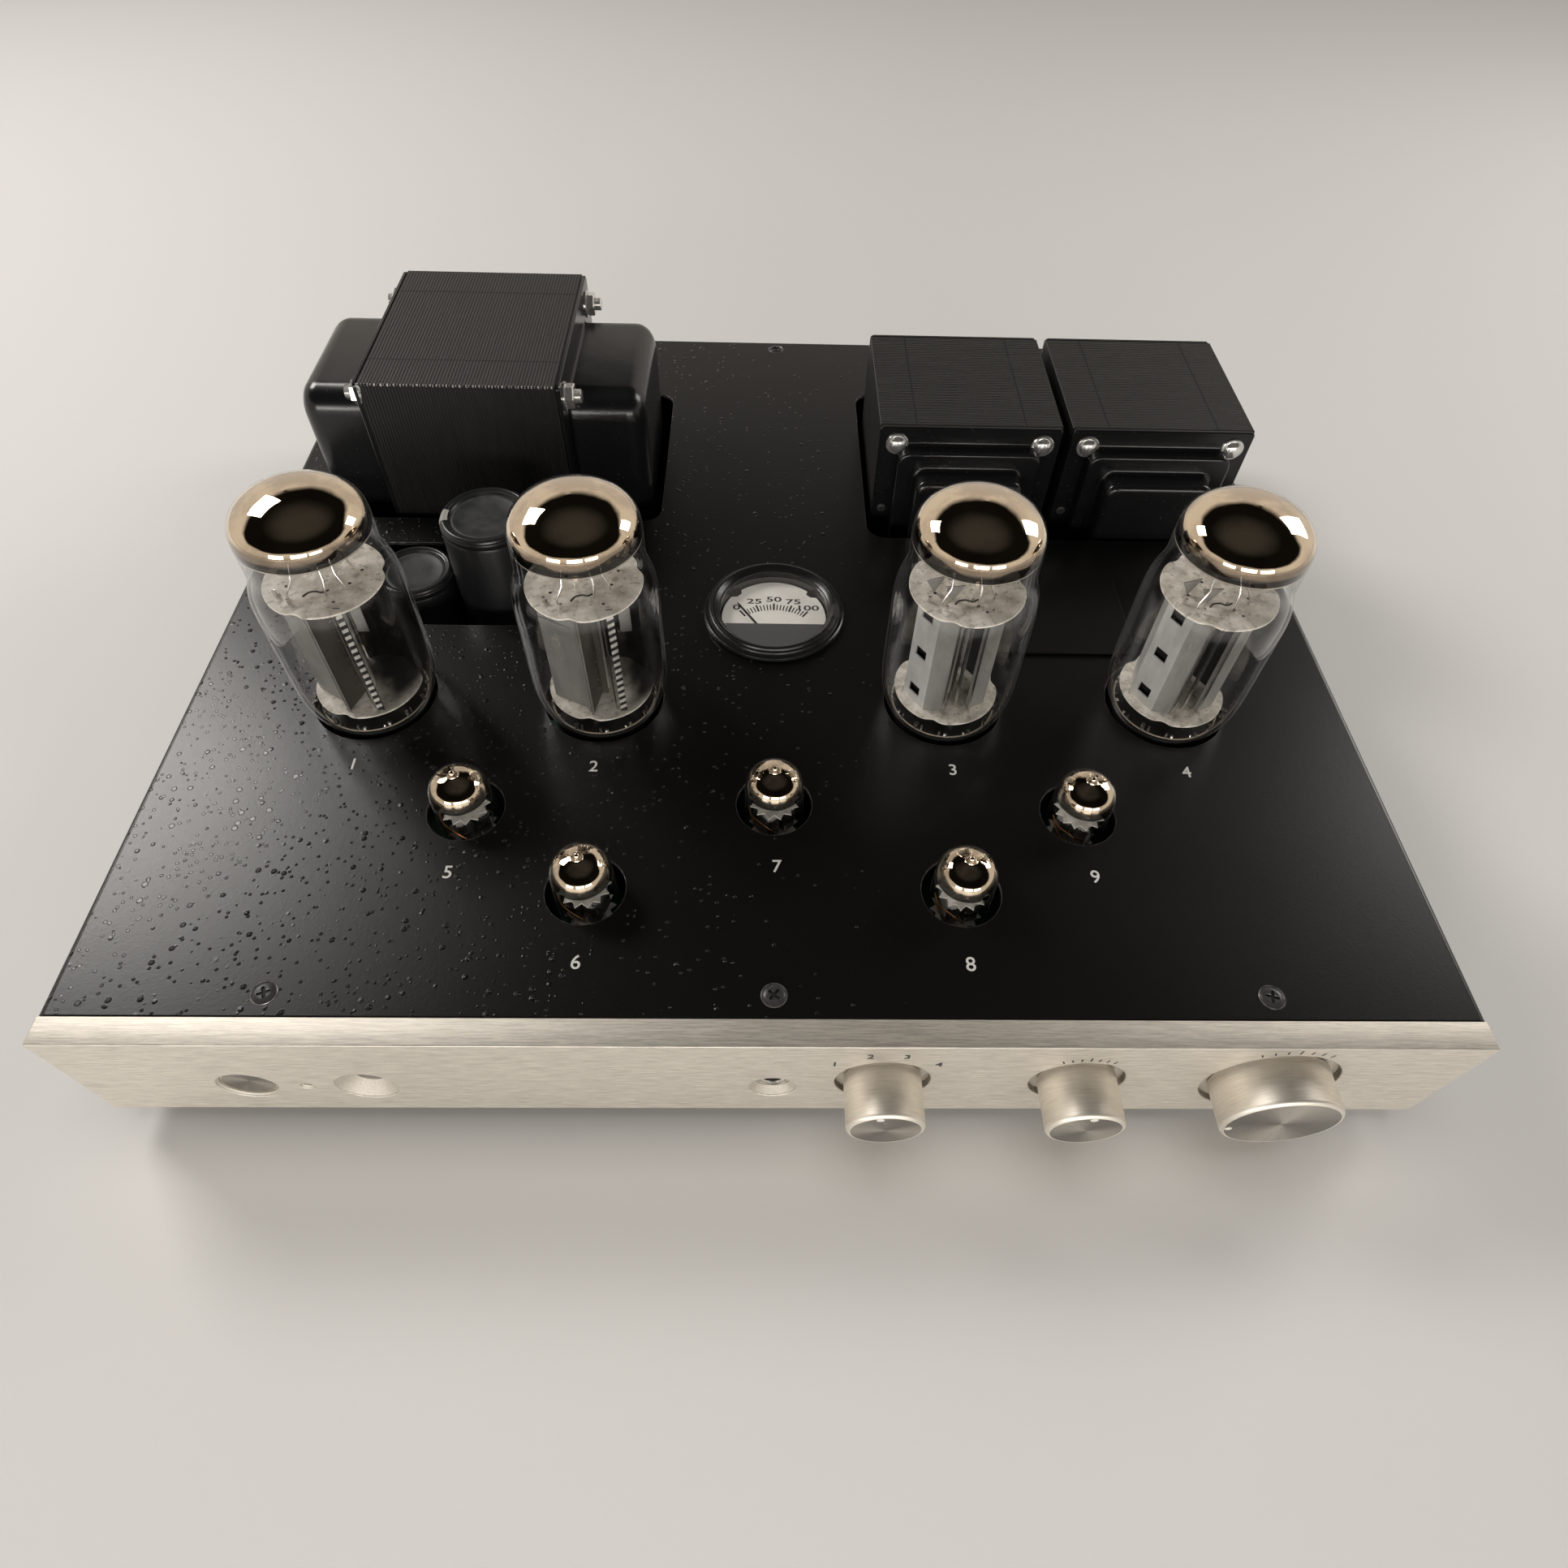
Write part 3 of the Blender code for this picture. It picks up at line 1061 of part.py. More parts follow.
# What each kind of piece is made of, by the words in its name
FINISHES = (
    ("glass", "glass"), ("window", "glass"), ("electrodes", "grey_metal"), ("base", "black_plastic"),
    ("core", "core_steel"), ("bell", "black_steel"), ("foot", "rubber"), ("knob", "aluminium"),
    ("faceplate", "aluminium"), ("button", "aluminium"), ("jacks", "nickel"), ("jack", "nickel"),
    ("needle", "needle"), ("dial", "dial"), ("board", "board"), ("capacitor", "sleeve"), ("lamp", "lamp"),
    ("pot", "grey_metal"), ("switch", "grey_metal"), ("inlet", "black_plastic"),
    ("terminals", "black_plastic"), ("case", "black_plastic"), ("", "black_steel"),
)


def main():
    for old in list(bpy.data.objects):
        bpy.data.objects.remove(old)
    build()
    amplifier = bpy.data.objects.new("amplifier", None)
    bpy.context.collection.objects.link(amplifier)
    for made in list(bpy.data.objects):
        if made.type == "MESH":
            dress(made, next(look for word, look in FINISHES if word in made.name))
            made.parent = amplifier


main()
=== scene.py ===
from functools import cache
from math import asin, cos, degrees, pi, radians, sin, tau

import bmesh
import bpy
from bpy.props import FloatProperty, FloatVectorProperty, IntProperty, PointerProperty
from mathutils import Matrix, Vector


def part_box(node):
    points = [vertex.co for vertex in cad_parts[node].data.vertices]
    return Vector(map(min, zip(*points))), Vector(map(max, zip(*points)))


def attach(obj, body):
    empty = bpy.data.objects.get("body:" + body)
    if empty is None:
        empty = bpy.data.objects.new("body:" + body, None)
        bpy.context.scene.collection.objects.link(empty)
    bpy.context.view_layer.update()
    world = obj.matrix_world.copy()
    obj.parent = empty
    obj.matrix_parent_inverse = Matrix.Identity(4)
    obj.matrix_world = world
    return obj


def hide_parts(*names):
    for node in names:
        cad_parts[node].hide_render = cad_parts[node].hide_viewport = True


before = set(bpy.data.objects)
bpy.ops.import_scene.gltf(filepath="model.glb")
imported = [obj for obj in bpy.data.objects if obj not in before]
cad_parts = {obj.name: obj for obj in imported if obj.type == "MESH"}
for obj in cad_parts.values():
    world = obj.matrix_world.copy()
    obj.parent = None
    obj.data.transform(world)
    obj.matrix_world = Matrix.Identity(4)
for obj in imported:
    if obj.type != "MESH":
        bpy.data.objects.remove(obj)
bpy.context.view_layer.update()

bl_info = {
    "name": "Tube amplifier finish",
    "version": (1, 0, 0),
    "blender": (4, 5, 0),
    "location": "3D View > Sidebar > Amplifier",
    "description": "Dresses the solids of a tube amplifier as finished pieces on a studio floor",
    "category": "Object",
}

MM = 0.001
SEAT_GAP = 0.0003
COVER_LOW, COVER_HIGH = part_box("top_cover")
# From millimetres, at the front middle of the deck's top sheet, to the row frame
DECK = Matrix.Translation((0, COVER_LOW[1] - SEAT_GAP, COVER_HIGH[2])) @ Matrix.Scale(MM, 4)
FORWARD = Matrix.Rotation(pi / 2, 4, "X")
BACKWARD = Matrix.Rotation(-pi / 2, 4, "X")
FRONT_FACE = -9.5
KNOB_LINE = -28.2
BUTTON_LINE = -34.0
REAR_LINE = -28.0
CASE_HALF = 228.5
CASE_DEPTH = 405.0
CASE_HEIGHT = 55.0
INK_FILM = 0.04
CREASE = radians(30)
POWER_TUBES = tuple(f"power_tube_{k}" for k in range(1, 5))
SMALL_TUBES = tuple(f"driver_tube_{k}" for k in range(1, 6))


# Places and shapes, in millimetres

def extent(node):
    """Low and high corners of a CAD node on the deck."""
    return [DECK.inverted() @ Vector(corner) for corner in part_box(node)]


def middle(node):
    low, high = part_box(node)
    return DECK.inverted() @ ((Vector(low) + Vector(high)) / 2)


def spot(x=0, y=0, z=0, turn=0.0, axis="Z"):
    """Matrix of a place, with a turn in degrees."""
    return Matrix.Translation((x, y, z)) @ Matrix.Rotation(radians(turn), 4, axis)


def rigid(x, y, z=0, turn=None):
    """A place on the deck, in the row frame and without scale."""
    where = Matrix.Translation(DECK @ Vector((x, y, z)))
    return where @ turn if turn else where


def polar(radius, angle):
    return radius * cos(angle), radius * sin(angle)


def arc(centre, radius, start, end, steps):
    turns = (polar(radius, radians(start + (end - start) * i / steps))
             for i in range(steps + 1))
    return [(centre[0] + x, centre[1] + y) for x, y in turns]


def circle(radius, steps=96, centre=(0, 0)):
    return arc(centre, radius, 0, 360, steps)[:-1]


def hoop(width, depth, level, steps):
    """Closed line of points on an ellipse."""
    angles = (tau * k / steps for k in range(steps + 1))
    return [(width * cos(a), depth * sin(a), level) for a in angles]


def rounded(width, depth, radius, steps=8, centre=(0, 0)):
    """Outline of a rectangle with round corners."""
    x, y = width / 2 - radius, depth / 2 - radius
    points = []
    for cx, cy, start in ((x, y, 0), (-x, y, 90), (-x, -y, 180), (x, -y, 270)):
        points += arc((centre[0] + cx, centre[1] + cy), radius, start, start + 90, steps)
    return points


def raised(outline, level):
    return [(x, y, level) for x, y in outline]


def inset(outline, distance):
    """The outline moved in along the bisectors of its corners."""
    points = [Vector(p) for p in outline]
    area = sum(a.x * b.y - b.x * a.y for a, b in zip(points, points[1:] + points[:1]))
    turn = 1 if area > 0 else -1
    moved = []
    for i, point in enumerate(points):
        legs = (point - points[i - 1], points[(i + 1) % len(points)] - point)
        n1, n2 = (Vector((-leg.y, leg.x)).normalized() * turn for leg in legs)
        across = n1 + n2
        moved.append(tuple(point + across * (distance / max(across.dot(n1), 0.2))))
    return moved


def mirrored(line, axis):
    """A line in plan, mirrored in an axis through the middle."""
    return [tuple(2 * axis.dot(Vector(p)) * axis - Vector(p)) for p in line]


def smooth_line(points, steps=5):
    """A smooth curve through points."""
    ends = [points[0], *points, points[-1]]
    line = []
    for four in zip(ends, ends[1:], ends[2:], ends[3:]):
        for t in (i / steps for i in range(steps)):
            line.append(tuple(
                0.5 * (2 * q + (r - p) * t + (2 * p - 5 * q + 4 * r - s) * t ** 2
                       + (3 * q - p - 3 * r + s) * t ** 3)
                for p, q, r, s in zip(*four)))
    return line + [points[-1]]


def give(thing, **settings):
    for name, value in settings.items():
        setattr(thing, name, value)
    return thing


def sheet_with_holes(outlines, thickness, edge):
    """Flat sheet about height 0: the first outline is its rim and the others are openings."""
    curve = give(bpy.data.curves.new("sheet", "CURVE"), dimensions="2D", fill_mode="BOTH",
                 extrude=thickness / 2 - edge, bevel_depth=edge, bevel_resolution=2, offset=-edge)
    for outline in outlines:
        spline = curve.splines.new("POLY")
        spline.points.add(len(outline) - 1)
        spline.use_cyclic_u = True
        for point, (x, y) in zip(spline.points, outline):
            point.co = (x, y, 0, 1)
    return curve


class Stock:
    """The geometry of one piece while it is shaped. Each shape takes one of its finishes."""

    def __init__(self):
        self.mesh = bmesh.new()

    def keep(self, verts, faces, finish, where):
        if where is not None:
            bmesh.ops.transform(self.mesh, matrix=where, verts=verts)
        for face in faces:
            face.material_index = finish
            face.smooth = True

    def turn(self, profile, finish=0, steps=72, where=None, start=0.0, sweep=360.0):
        """Turned shape about local Z from (radius, height) points."""
        columns = steps if sweep >= 360 else steps + 1
        angles = [radians(start + sweep * i / steps) for i in range(columns)]
        rings = []
        for radius, height in profile:
            ring = [(0, 0)] if radius < 1e-6 else [polar(radius, a) for a in angles]
            rings.append([self.mesh.verts.new(point) for point in raised(ring, height)])
        faces = []
        for low, high in zip(rings, rings[1:]):
            for i in range(steps):
                j = (i + 1) % columns
                corners = list(dict.fromkeys((low[i % len(low)], low[j % len(low)],
                                              high[j % len(high)], high[i % len(high)])))
                if len(corners) > 2:
                    faces.append(self.mesh.faces.new(corners))
        self.keep([v for ring in rings for v in ring], faces, finish, where)

    def loft(self, rings, finish=0, where=None, caps=True):
        """Skin through closed rings that have the same number of points."""
        loops = [[self.mesh.verts.new(point) for point in ring] for ring in rings]
        faces = []
        for low, high in zip(loops, loops[1:]):
            for i in range(len(low)):
                j = (i + 1) % len(low)
                faces.append(self.mesh.faces.new((low[i], low[j], high[j], high[i])))
        if caps:
            faces += [self.mesh.faces.new(loops[0][::-1]), self.mesh.faces.new(loops[-1])]
        self.keep([v for loop in loops for v in loop], faces, finish, where)

    def prism(self, outline, low, high, finish=0, where=None, edge=0.0):
        """An outline carried from one height to another, with its two rims eased."""
        rings = [(outline, low), (outline, high)]
        if edge:
            small = inset(outline, edge)
            rings = [(small, low), (outline, low + edge), (outline, high - edge), (small, high)]
        self.loft([raised(*ring) for ring in rings], finish, where)

    def block(self, low, high, finish=0, where=None, edge=0.0):
        outline = ((low[0], low[1]), (high[0], low[1]), (high[0], high[1]), (low[0], high[1]))
        self.prism(outline, low[2], high[2], finish, where, edge)

    def wire(self, points, radius, finish=0, sides=8):
        """Round wire along a line of points."""
        points = [Vector(p) for p in points]
        rings = []
        side = None
        for i, point in enumerate(points):
            ahead = (points[min(i + 1, len(points) - 1)] - points[max(i - 1, 0)]).normalized()
            if side is None:
                side = ahead.orthogonal().normalized()
            side = (side - ahead * side.dot(ahead)).normalized()
            across = ahead.cross(side)
            turns = (polar(1.0, tau * k / sides) for k in range(sides))
            rings.append([point + radius * (u * side + v * across) for u, v in turns])
        self.loft(rings, finish)

    def sheet(self, line, low, high, thickness, finish=0, windows=()):
        """Folded sheet on a line in plan. Windows are (leg, start, end, low, high)."""
        faces = []
        kept = {}

        def corner(leg, share, z):
            a, b = line[leg], line[leg + 1]
            flat = (a[k] + (b[k] - a[k]) * share for k in (0, 1))
            point = tuple(round(c, 5) for c in (*flat, z))
            if point not in kept:
                kept[point] = self.mesh.verts.new(point)
            return kept[point]

        levels = sorted({low, high, *(z for w in windows for z in w[3:])})
        for leg in range(len(line) - 1):
            cuts = [w for w in windows if w[0] == leg]
            across = sorted({0.0, 1.0, *(u for w in cuts for u in w[1:3])})
            for z0, z1 in zip(levels, levels[1:]):
                for u0, u1 in zip(across, across[1:]):
                    if not any(w[1] <= u0 and u1 <= w[2] and w[3] <= z0 and z1 <= w[4]
                               for w in cuts):
                        quad = ((u0, z0), (u1, z0), (u1, z1), (u0, z1))
                        faces.append(self.mesh.faces.new([corner(leg, *c) for c in quad]))
        bmesh.ops.recalc_face_normals(self.mesh, faces=faces)
        made = bmesh.ops.solidify(self.mesh, geom=faces, thickness=thickness)["geom"]
        every = set(faces) | {g for g in made if isinstance(g, bmesh.types.BMFace)}
        verts = {v for f in every for v in f.verts}
        self.keep(list(verts), every | {f for v in verts for f in v.link_faces}, finish, None)

    def take(self, curve, finish, where):
        """Add the mesh of a curve, which is then removed."""
        holder = bpy.data.objects.new(curve.name, curve)
        data = bpy.data.meshes.new_from_object(holder)
        before = set(self.mesh.verts)
        self.mesh.from_mesh(data)
        verts = [v for v in self.mesh.verts if v not in before]
        faces = {f for v in verts for f in v.link_faces}
        self.keep(verts, faces, finish, where)
        bpy.data.objects.remove(holder)
        bpy.data.curves.remove(curve)
        bpy.data.meshes.remove(data)
        return faces

    def words(self, text, size, finish=0, where=None, weight=0.03):
        """Flat characters, centred, that stand up by a film of ink."""
        curve = give(bpy.data.curves.new("characters", "FONT"), body=text, size=size,
                     align_x="CENTER", align_y="CENTER", extrude=INK_FILM / 2,
                     offset=weight * size / 4, resolution_u=4)
        self.take(curve, finish, where)

    def rotate(self, angle):
        turn = Matrix.Rotation(radians(angle), 3, "Z")
        bmesh.ops.rotate(self.mesh, matrix=turn, verts=self.mesh.verts)

    def done(self, name, finishes, body="amplifier", slot=None, replaces=(), place=None):
        """The finished object. With a place, the shape is about that place's own axis."""
        bmesh.ops.recalc_face_normals(self.mesh, faces=self.mesh.faces)
        frame_scale = Matrix.Scale(MM, 4) if place else DECK
        bmesh.ops.transform(self.mesh, matrix=frame_scale, verts=self.mesh.verts)
        data = bpy.data.meshes.new(name)
        self.mesh.to_mesh(data)
        self.mesh.free()
        for material in finishes:
            data.materials.append(material)
        data.set_sharp_from_angle(angle=CREASE)
        made = bpy.data.objects.new(name, data)
        bpy.context.collection.objects.link(made)
        if place:
            made.matrix_world = place
        bpy.context.view_layer.update()
        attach(made, body)
        if replaces:
            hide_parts(*replaces)


def turned(name, profile, finish, steps, slot, replaces=(), place=None, where=None):
    """A piece that is one turned shape."""
    stock = Stock()
    stock.turn(profile, 0, steps, where)
    stock.done(name, [finish], slot=slot, replaces=replaces, place=place)


# Materials

class Wire:
    """A socket of a node tree. Python's operators on it add Math nodes."""

    def __init__(self, socket):
        self.socket = socket

    def node(self, kind, settings=None, sockets=None, out=0):
        """Any other node: its settings first, then the values or links of its sockets."""
        made = give(self.socket.id_data.nodes.new(kind), **(settings or {}))
        for key, value in (sockets or {}).items():
            plug(made.inputs[key], value)
        return Wire(made.outputs[out])

    def maths(self, operation, *values):
        return self.node("ShaderNodeMath", {"operation": operation}, dict(enumerate(values)))

    def __add__(self, other):
        return self.maths("ADD", self, other)

    def __radd__(self, other):
        return self.maths("ADD", other, self)

    def __sub__(self, other):
        return self.maths("SUBTRACT", self, other)

    def __rsub__(self, other):
        return self.maths("SUBTRACT", other, self)

    def __mul__(self, other):
        return self.maths("MULTIPLY", self, other)

    def __rmul__(self, other):
        return self.maths("MULTIPLY", other, self)

    def __pow__(self, other):
        return self.maths("POWER", self, other)

    def step(self, low, high, start=0.0, end=1.0):
        """Smooth step of this value from low to high."""
        return self.node("ShaderNodeMapRange", {"interpolation_type": "SMOOTHSTEP"},
                         {"Value": self, "From Min": low, "From Max": high,
                          "To Min": start, "To Max": end})

    def stretched(self, x, y, z):
        return self.node("ShaderNodeVectorMath", {"operation": "MULTIPLY"},
                         {0: self, 1: (x, y, z)})

    def grain(self, scale, detail=2.0, rough=0.5):
        """Noise of this vector, about 0.5."""
        return self.node("ShaderNodeTexNoise", {}, {"Vector": self, "Scale": scale,
                                                    "Detail": detail, "Roughness": rough})

    def streak(self, scale, detail=3):
        """Noise of this one value, about 0.5."""
        return self.node("ShaderNodeTexNoise", {"noise_dimensions": "1D"},
                         {"W": self, "Scale": scale, "Detail": detail})

    def axis(self, name):
        return self.node("ShaderNodeSeparateXYZ", {}, {0: self}, name)

    def mix(self, low, high):
        """Colour between two, by this value."""
        return self.node("ShaderNodeMix", {"data_type": "RGBA"}, {0: self, 6: low, 7: high}, 2)


def plug(socket, value):
    """Link a wire to a socket, or set the socket's own value."""
    if isinstance(value, Wire):
        socket.id_data.links.new(value.socket, socket)
    elif socket.type == "RGBA" and len(value) == 3:
        socket.default_value = (*value, 1.0)
    else:
        socket.default_value = value


class Finish:
    """A material while it is mixed."""

    def __init__(self, name):
        self.material = bpy.data.materials.new(name)
        self.material.use_nodes = True
        nodes = self.material.node_tree.nodes
        self.shader = nodes["Principled BSDF"]
        self.place = Wire(nodes.new("ShaderNodeTexCoord").outputs["Object"])

    def plan(self):
        """Local X and Y, and the distance from the axis."""
        x, y = self.place.axis("X"), self.place.axis("Y")
        return x, y, (x * x + y * y) ** 0.5

    def bump(self, height, distance, strength=1.0):
        sockets = {"Strength": strength, "Distance": distance, "Height": height}
        plug(self.shader.inputs["Normal"], self.place.node("ShaderNodeBump", {}, sockets))

    def nibs(self, flat, scale, share):
        """Round grains in the given share of the cells of a pattern."""
        sockets = {"Vector": flat, "Scale": scale}
        near = flat.node("ShaderNodeTexVoronoi", {}, sockets, "Distance")
        chance = flat.node("ShaderNodeTexVoronoi", {}, sockets, "Color").axis("X")
        return near.step(0.25, 0.02) * (share - chance).step(0.0, 0.3)

    def set(self, **values):
        for name, value in values.items():
            socket = name.replace("_", " ").title().replace("Ior", "IOR")
            plug(self.shader.inputs[socket], value)
        return self.material


def shades(tone, *shares):
    return [tuple(c * share for c in tone) for share in shares]


def aluminium(*shares):
    return shades(bpy.context.scene.amplifier_looks.aluminium, *shares)


@cache
def satin_black():
    """Powder coat on steel: orange peel, dust that is thickest to the left, dull patches."""
    f = Finish("satin_black")
    peel = f.place.grain(1300, 3)
    cloud = f.place.grain(9, 3)
    flat = f.place.stretched(1, 1, 0)
    normal = f.place.node("ShaderNodeNewGeometry", {}, {}, "Normal")
    left = f.place.axis("X").step(0.12, -0.2, 0.03, 0.95) * normal.axis("Z").step(0.7, 0.95)
    nib = f.nibs(flat, 360, left) + f.nibs(flat, 220, left * 0.5) * 1.4
    f.bump(peel * 0.05 + nib, 0.00048)
    coat = cloud.mix(*shades(bpy.context.scene.amplifier_looks.coat, 0.8, 1.35))
    return f.set(Base_Color=(nib * 0.12).mix(coat, (0.035, 0.033, 0.031)),
                 Roughness=0.22 + 0.10 * cloud + 0.06 * peel, Specular_IOR_Level=0.45,
                 Coat_Weight=nib.step(0.05, 0.5) * 0.6, Coat_Roughness=0.08)


@cache
def cut_edge():
    """Sheared edge of the sheet, thinly coated."""
    f = Finish("cut_edge")
    wear = f.place.grain(420, 4).step(0.35, 0.7)
    return f.set(Base_Color=wear.mix((0.03, 0.028, 0.026), (0.22, 0.21, 0.20)),
                 Metallic=wear * 0.8, Roughness=0.5 - wear * 0.2)


@cache
def brushed_front():
    """Aluminium brushed from side to side."""
    f = Finish("brushed_front")
    fine = f.place.stretched(110, 2800, 2800).grain(1.0, 4, 0.75)
    broad = f.place.stretched(24, 520, 520).grain(1.0, 3, 0.6)
    tone = fine * 0.9 + broad * 0.1
    f.bump(tone, 0.00005)
    return f.set(Base_Color=tone.step(0.36, 0.64).mix(*aluminium(0.74, 1.05)), Metallic=1.0,
                 Roughness=0.5 + 0.14 * fine)


@cache
def spun_face(name="spun_face", tone=0.46):
    """Turned aluminium: fine circles about the piece's own axis. Its colour is held darker than the
    aluminium by tone, as painted shade, and carries two fans of painted highlight.
    """
    f = Finish(name)
    x, y, radius = f.plan()
    phase = radius * 26000
    rings = phase.maths("SINE", phase + f.place.grain(300) * 3)
    uneven = radius.streak(2400)
    f.bump(rings * 0.5 + uneven * 1.2, 0.00003)
    # Painted highlight: two bright fans by angle about the axis, with radial streaks, mixed into
    # the colour
    turn = y.maths("ARCTAN2", y, x)
    sheen_fan_angle = turn * 2.0 + 0.9
    painted_sheen = (sheen_fan_angle.maths("COSINE", sheen_fan_angle) * 0.5 + 0.5) ** 2.0 + (turn.streak(9.0) - 0.5) * 0.5
    painted_sheen_and_grain = painted_sheen * 0.9 + (uneven - 0.5) * 0.25
    return f.set(Base_Color=painted_sheen_and_grain.mix(*aluminium(0.66 * tone, 1.75 * tone)), Metallic=1.0,
                 Roughness=0.2 + 0.1 * uneven, Anisotropic=0.9, Anisotropic_Rotation=0.25)


@cache
def glass(name="bulb_glass", tint=(1.0, 1.0, 1.0), body=0.0):
    """Thin clear glass. What it doesn't mirror it lets through, so the parts inside are lit."""
    f = Finish(name)
    facing = f.place.node("ShaderNodeLayerWeight", {}, {"Blend": 0.5}, "Facing")
    # edge marks where the glass is seen edge-on; there its colour turns pale and less metallic, a
    # painted highlight along the outline
    rim, edge = facing ** 4.6, facing.step(0.90, 0.985)
    haze = f.place.grain(60, 3).step(0.5, 0.8) * 0.008
    return f.set(Base_Color=edge.mix(tint, (0.55, 0.53, 0.50)), Metallic=1.0 - edge * 0.8,
                 Roughness=0.015, Alpha=rim * 0.85 + haze + body + 0.03)


@cache
def getter_mirror():
    """Bright film in the dome of a tube, thin and brown where it ends. Local Z is from the deck."""
    f = Finish("getter_mirror")
    height = f.place.axis("Z") + (f.place.grain(90, 2) - 0.5) * 0.0008
    cover = height.step(0.0792, 0.0795)
    line = cover * height.step(0.0801, 0.0797)
    body = height.step(0.0846, 0.0868)
    bright = f.place.grain(55, 4, 0.6).step(0.36, 0.58).mix((0.69, 0.56, 0.42), (0.94, 0.78, 0.58))
    amber = height.step(0.0820, 0.0836).mix((0.030, 0.022, 0.017), (0.30, 0.225, 0.155))
    return f.set(Base_Color=line.mix(body.mix(amber, bright), (0.62, 0.57, 0.49)),
                 Metallic=1.0 - line * 0.6, Roughness=0.09 - 0.065 * body,
                 Alpha=cover * (0.9 + 0.1 * body))


@cache
def small_getter():
    """Bright film inside the round top of a small tube."""
    f = Finish("small_getter")
    height = f.place.axis("Z") + (f.place.grain(140, 2) - 0.5) * 0.0010
    cover, body = height.step(0.0098, 0.0103), height.step(0.0126, 0.0144)
    bright = f.place.grain(140, 3, 0.6).step(0.36, 0.58).mix((0.52, 0.42, 0.31),
                                                             (0.80, 0.665, 0.50))
    amber = height.step(0.0103, 0.0116).mix((0.045, 0.033, 0.025), (0.36, 0.275, 0.195))
    return f.set(Base_Color=body.mix(amber, bright), Metallic=1.0, Roughness=0.035,
                 Alpha=cover * (0.88 + 0.12 * body))


@cache
def burnt_film():
    """Dark film on one side of the bulb, with a soft edge."""
    f = Finish("burnt_film")
    x, y, z = (f.place.axis(name) for name in "XYZ")
    turn = y.maths("ARCTAN2", y, x) + (f.place.grain(70) - 0.5) * 0.5
    cover = turn.step(-1.15, -0.75) * turn.step(1.1, 0.6)
    cover = cover * z.step(0.012, 0.021) * z.step(0.056, 0.047)
    return f.set(Base_Color=(0.004, 0.0035, 0.003), Roughness=0.25, Alpha=cover * 0.96)


@cache
def mica():
    """Mineral sheet: off-white, mottled, with dark veins and sooty patches."""
    f = Finish("mica")
    cloud = f.place.grain(170, 5, 0.65)
    vein = f.place.grain(420, 4).step(0.56, 0.66)
    tone = cloud.step(0.3, 0.72).mix((0.52, 0.48, 0.41), (0.94, 0.89, 0.80))
    f.bump(cloud, 0.0002, 0.5)
    return f.set(Base_Color=(vein * 0.45).mix(tone, (0.13, 0.115, 0.10)),
                 Roughness=0.42 + 0.2 * cloud)


@cache
def coated(name, tone):
    """Grey-coated sheet metal with a fine grain."""
    f = Finish(name)
    speck = f.place.grain(2600, 2)
    cloud = f.place.stretched(1, 1, 0.35).grain(120, 3)
    f.bump(speck, 0.00006)
    share = (cloud * 0.7 + speck * 0.3).step(0.3, 0.72)
    return f.set(Base_Color=share.mix(*shades(tone, 0.72, 1.2)), Metallic=0.35,
                 Roughness=0.42 + 0.16 * speck)


@cache
def moulded(name, rough=0.3, tone=0.012):
    """Black moulded plastic with a faint grain and dust."""
    f = Finish(name)
    grain = f.place.grain(1500, 2)
    dust = f.place.grain(60, 5).step(0.62, 0.85)
    f.bump(grain, 0.00005)
    return f.set(Base_Color=(dust * 0.5).mix((tone,) * 3, (0.09, 0.085, 0.08)),
                 Roughness=rough + 0.1 * grain + 0.25 * dust)


@cache
def bell_black():
    """Gloss enamel on the drawn covers, with soft runs in it and light dust."""
    f = Finish("bell_black")
    runs = f.place.grain(45, 3)
    dust = f.place.grain(700, 3).step(0.66, 0.8)
    f.bump(runs + dust * 0.04, 0.0006, 0.35)
    return f.set(Base_Color=(dust * 0.25).mix((0.007, 0.007, 0.0075), (0.12, 0.115, 0.11)),
                 Roughness=0.17 + 0.1 * runs + 0.2 * dust)


@cache
def laminated(axis, pitch=0.00135):
    """Edges of stacked steel sheets under black varnish. The lines cross the given axis."""
    f = Finish(f"laminated_{axis.lower()}")
    phase = f.place.axis(axis) * (tau / pitch)
    uneven = f.place.stretched(*(2600.0 if name == axis else 60.0 for name in "XYZ"))
    uneven = uneven.grain(1.0, 3, 0.7)
    f.bump(phase.maths("SINE", phase) * 0.35 + uneven, 0.0002)
    tone = uneven.step(0.35, 0.75).mix((0.003, 0.003, 0.0031), (0.010, 0.0095, 0.009))
    return f.set(Base_Color=tone, Roughness=0.33 + 0.22 * uneven)


@cache
def pale_floor():
    """Plain matt studio floor that fades into the backdrop far from the object."""
    f = Finish("pale_floor")
    tone = f.place.grain(3, 2)
    pale = shades(bpy.context.scene.amplifier_stage.floor, 0.985, 1.0)
    return f.set(Base_Color=tone.mix(*pale), Roughness=0.65 + 0.05 * tone,
                 Alpha=f.plan()[2].step(2.6, 1.0))


@cache
def grained(name, dark, light, rough, scale, detail=2, noise=0.5, step=None, stretch=None,
            bump=None, **constants):
    """One noise mixes two tones, varies the roughness and may stand as a bump."""
    f = Finish(name)
    place = f.place.stretched(*stretch) if stretch else f.place
    grain = place.grain(scale, detail, noise)
    if bump:
        f.bump(grain, *bump)
    share = grain.step(*step) if step else grain
    return f.set(Base_Color=share.mix(dark, light), Roughness=rough[0] + rough[1] * grain,
                 **constants)


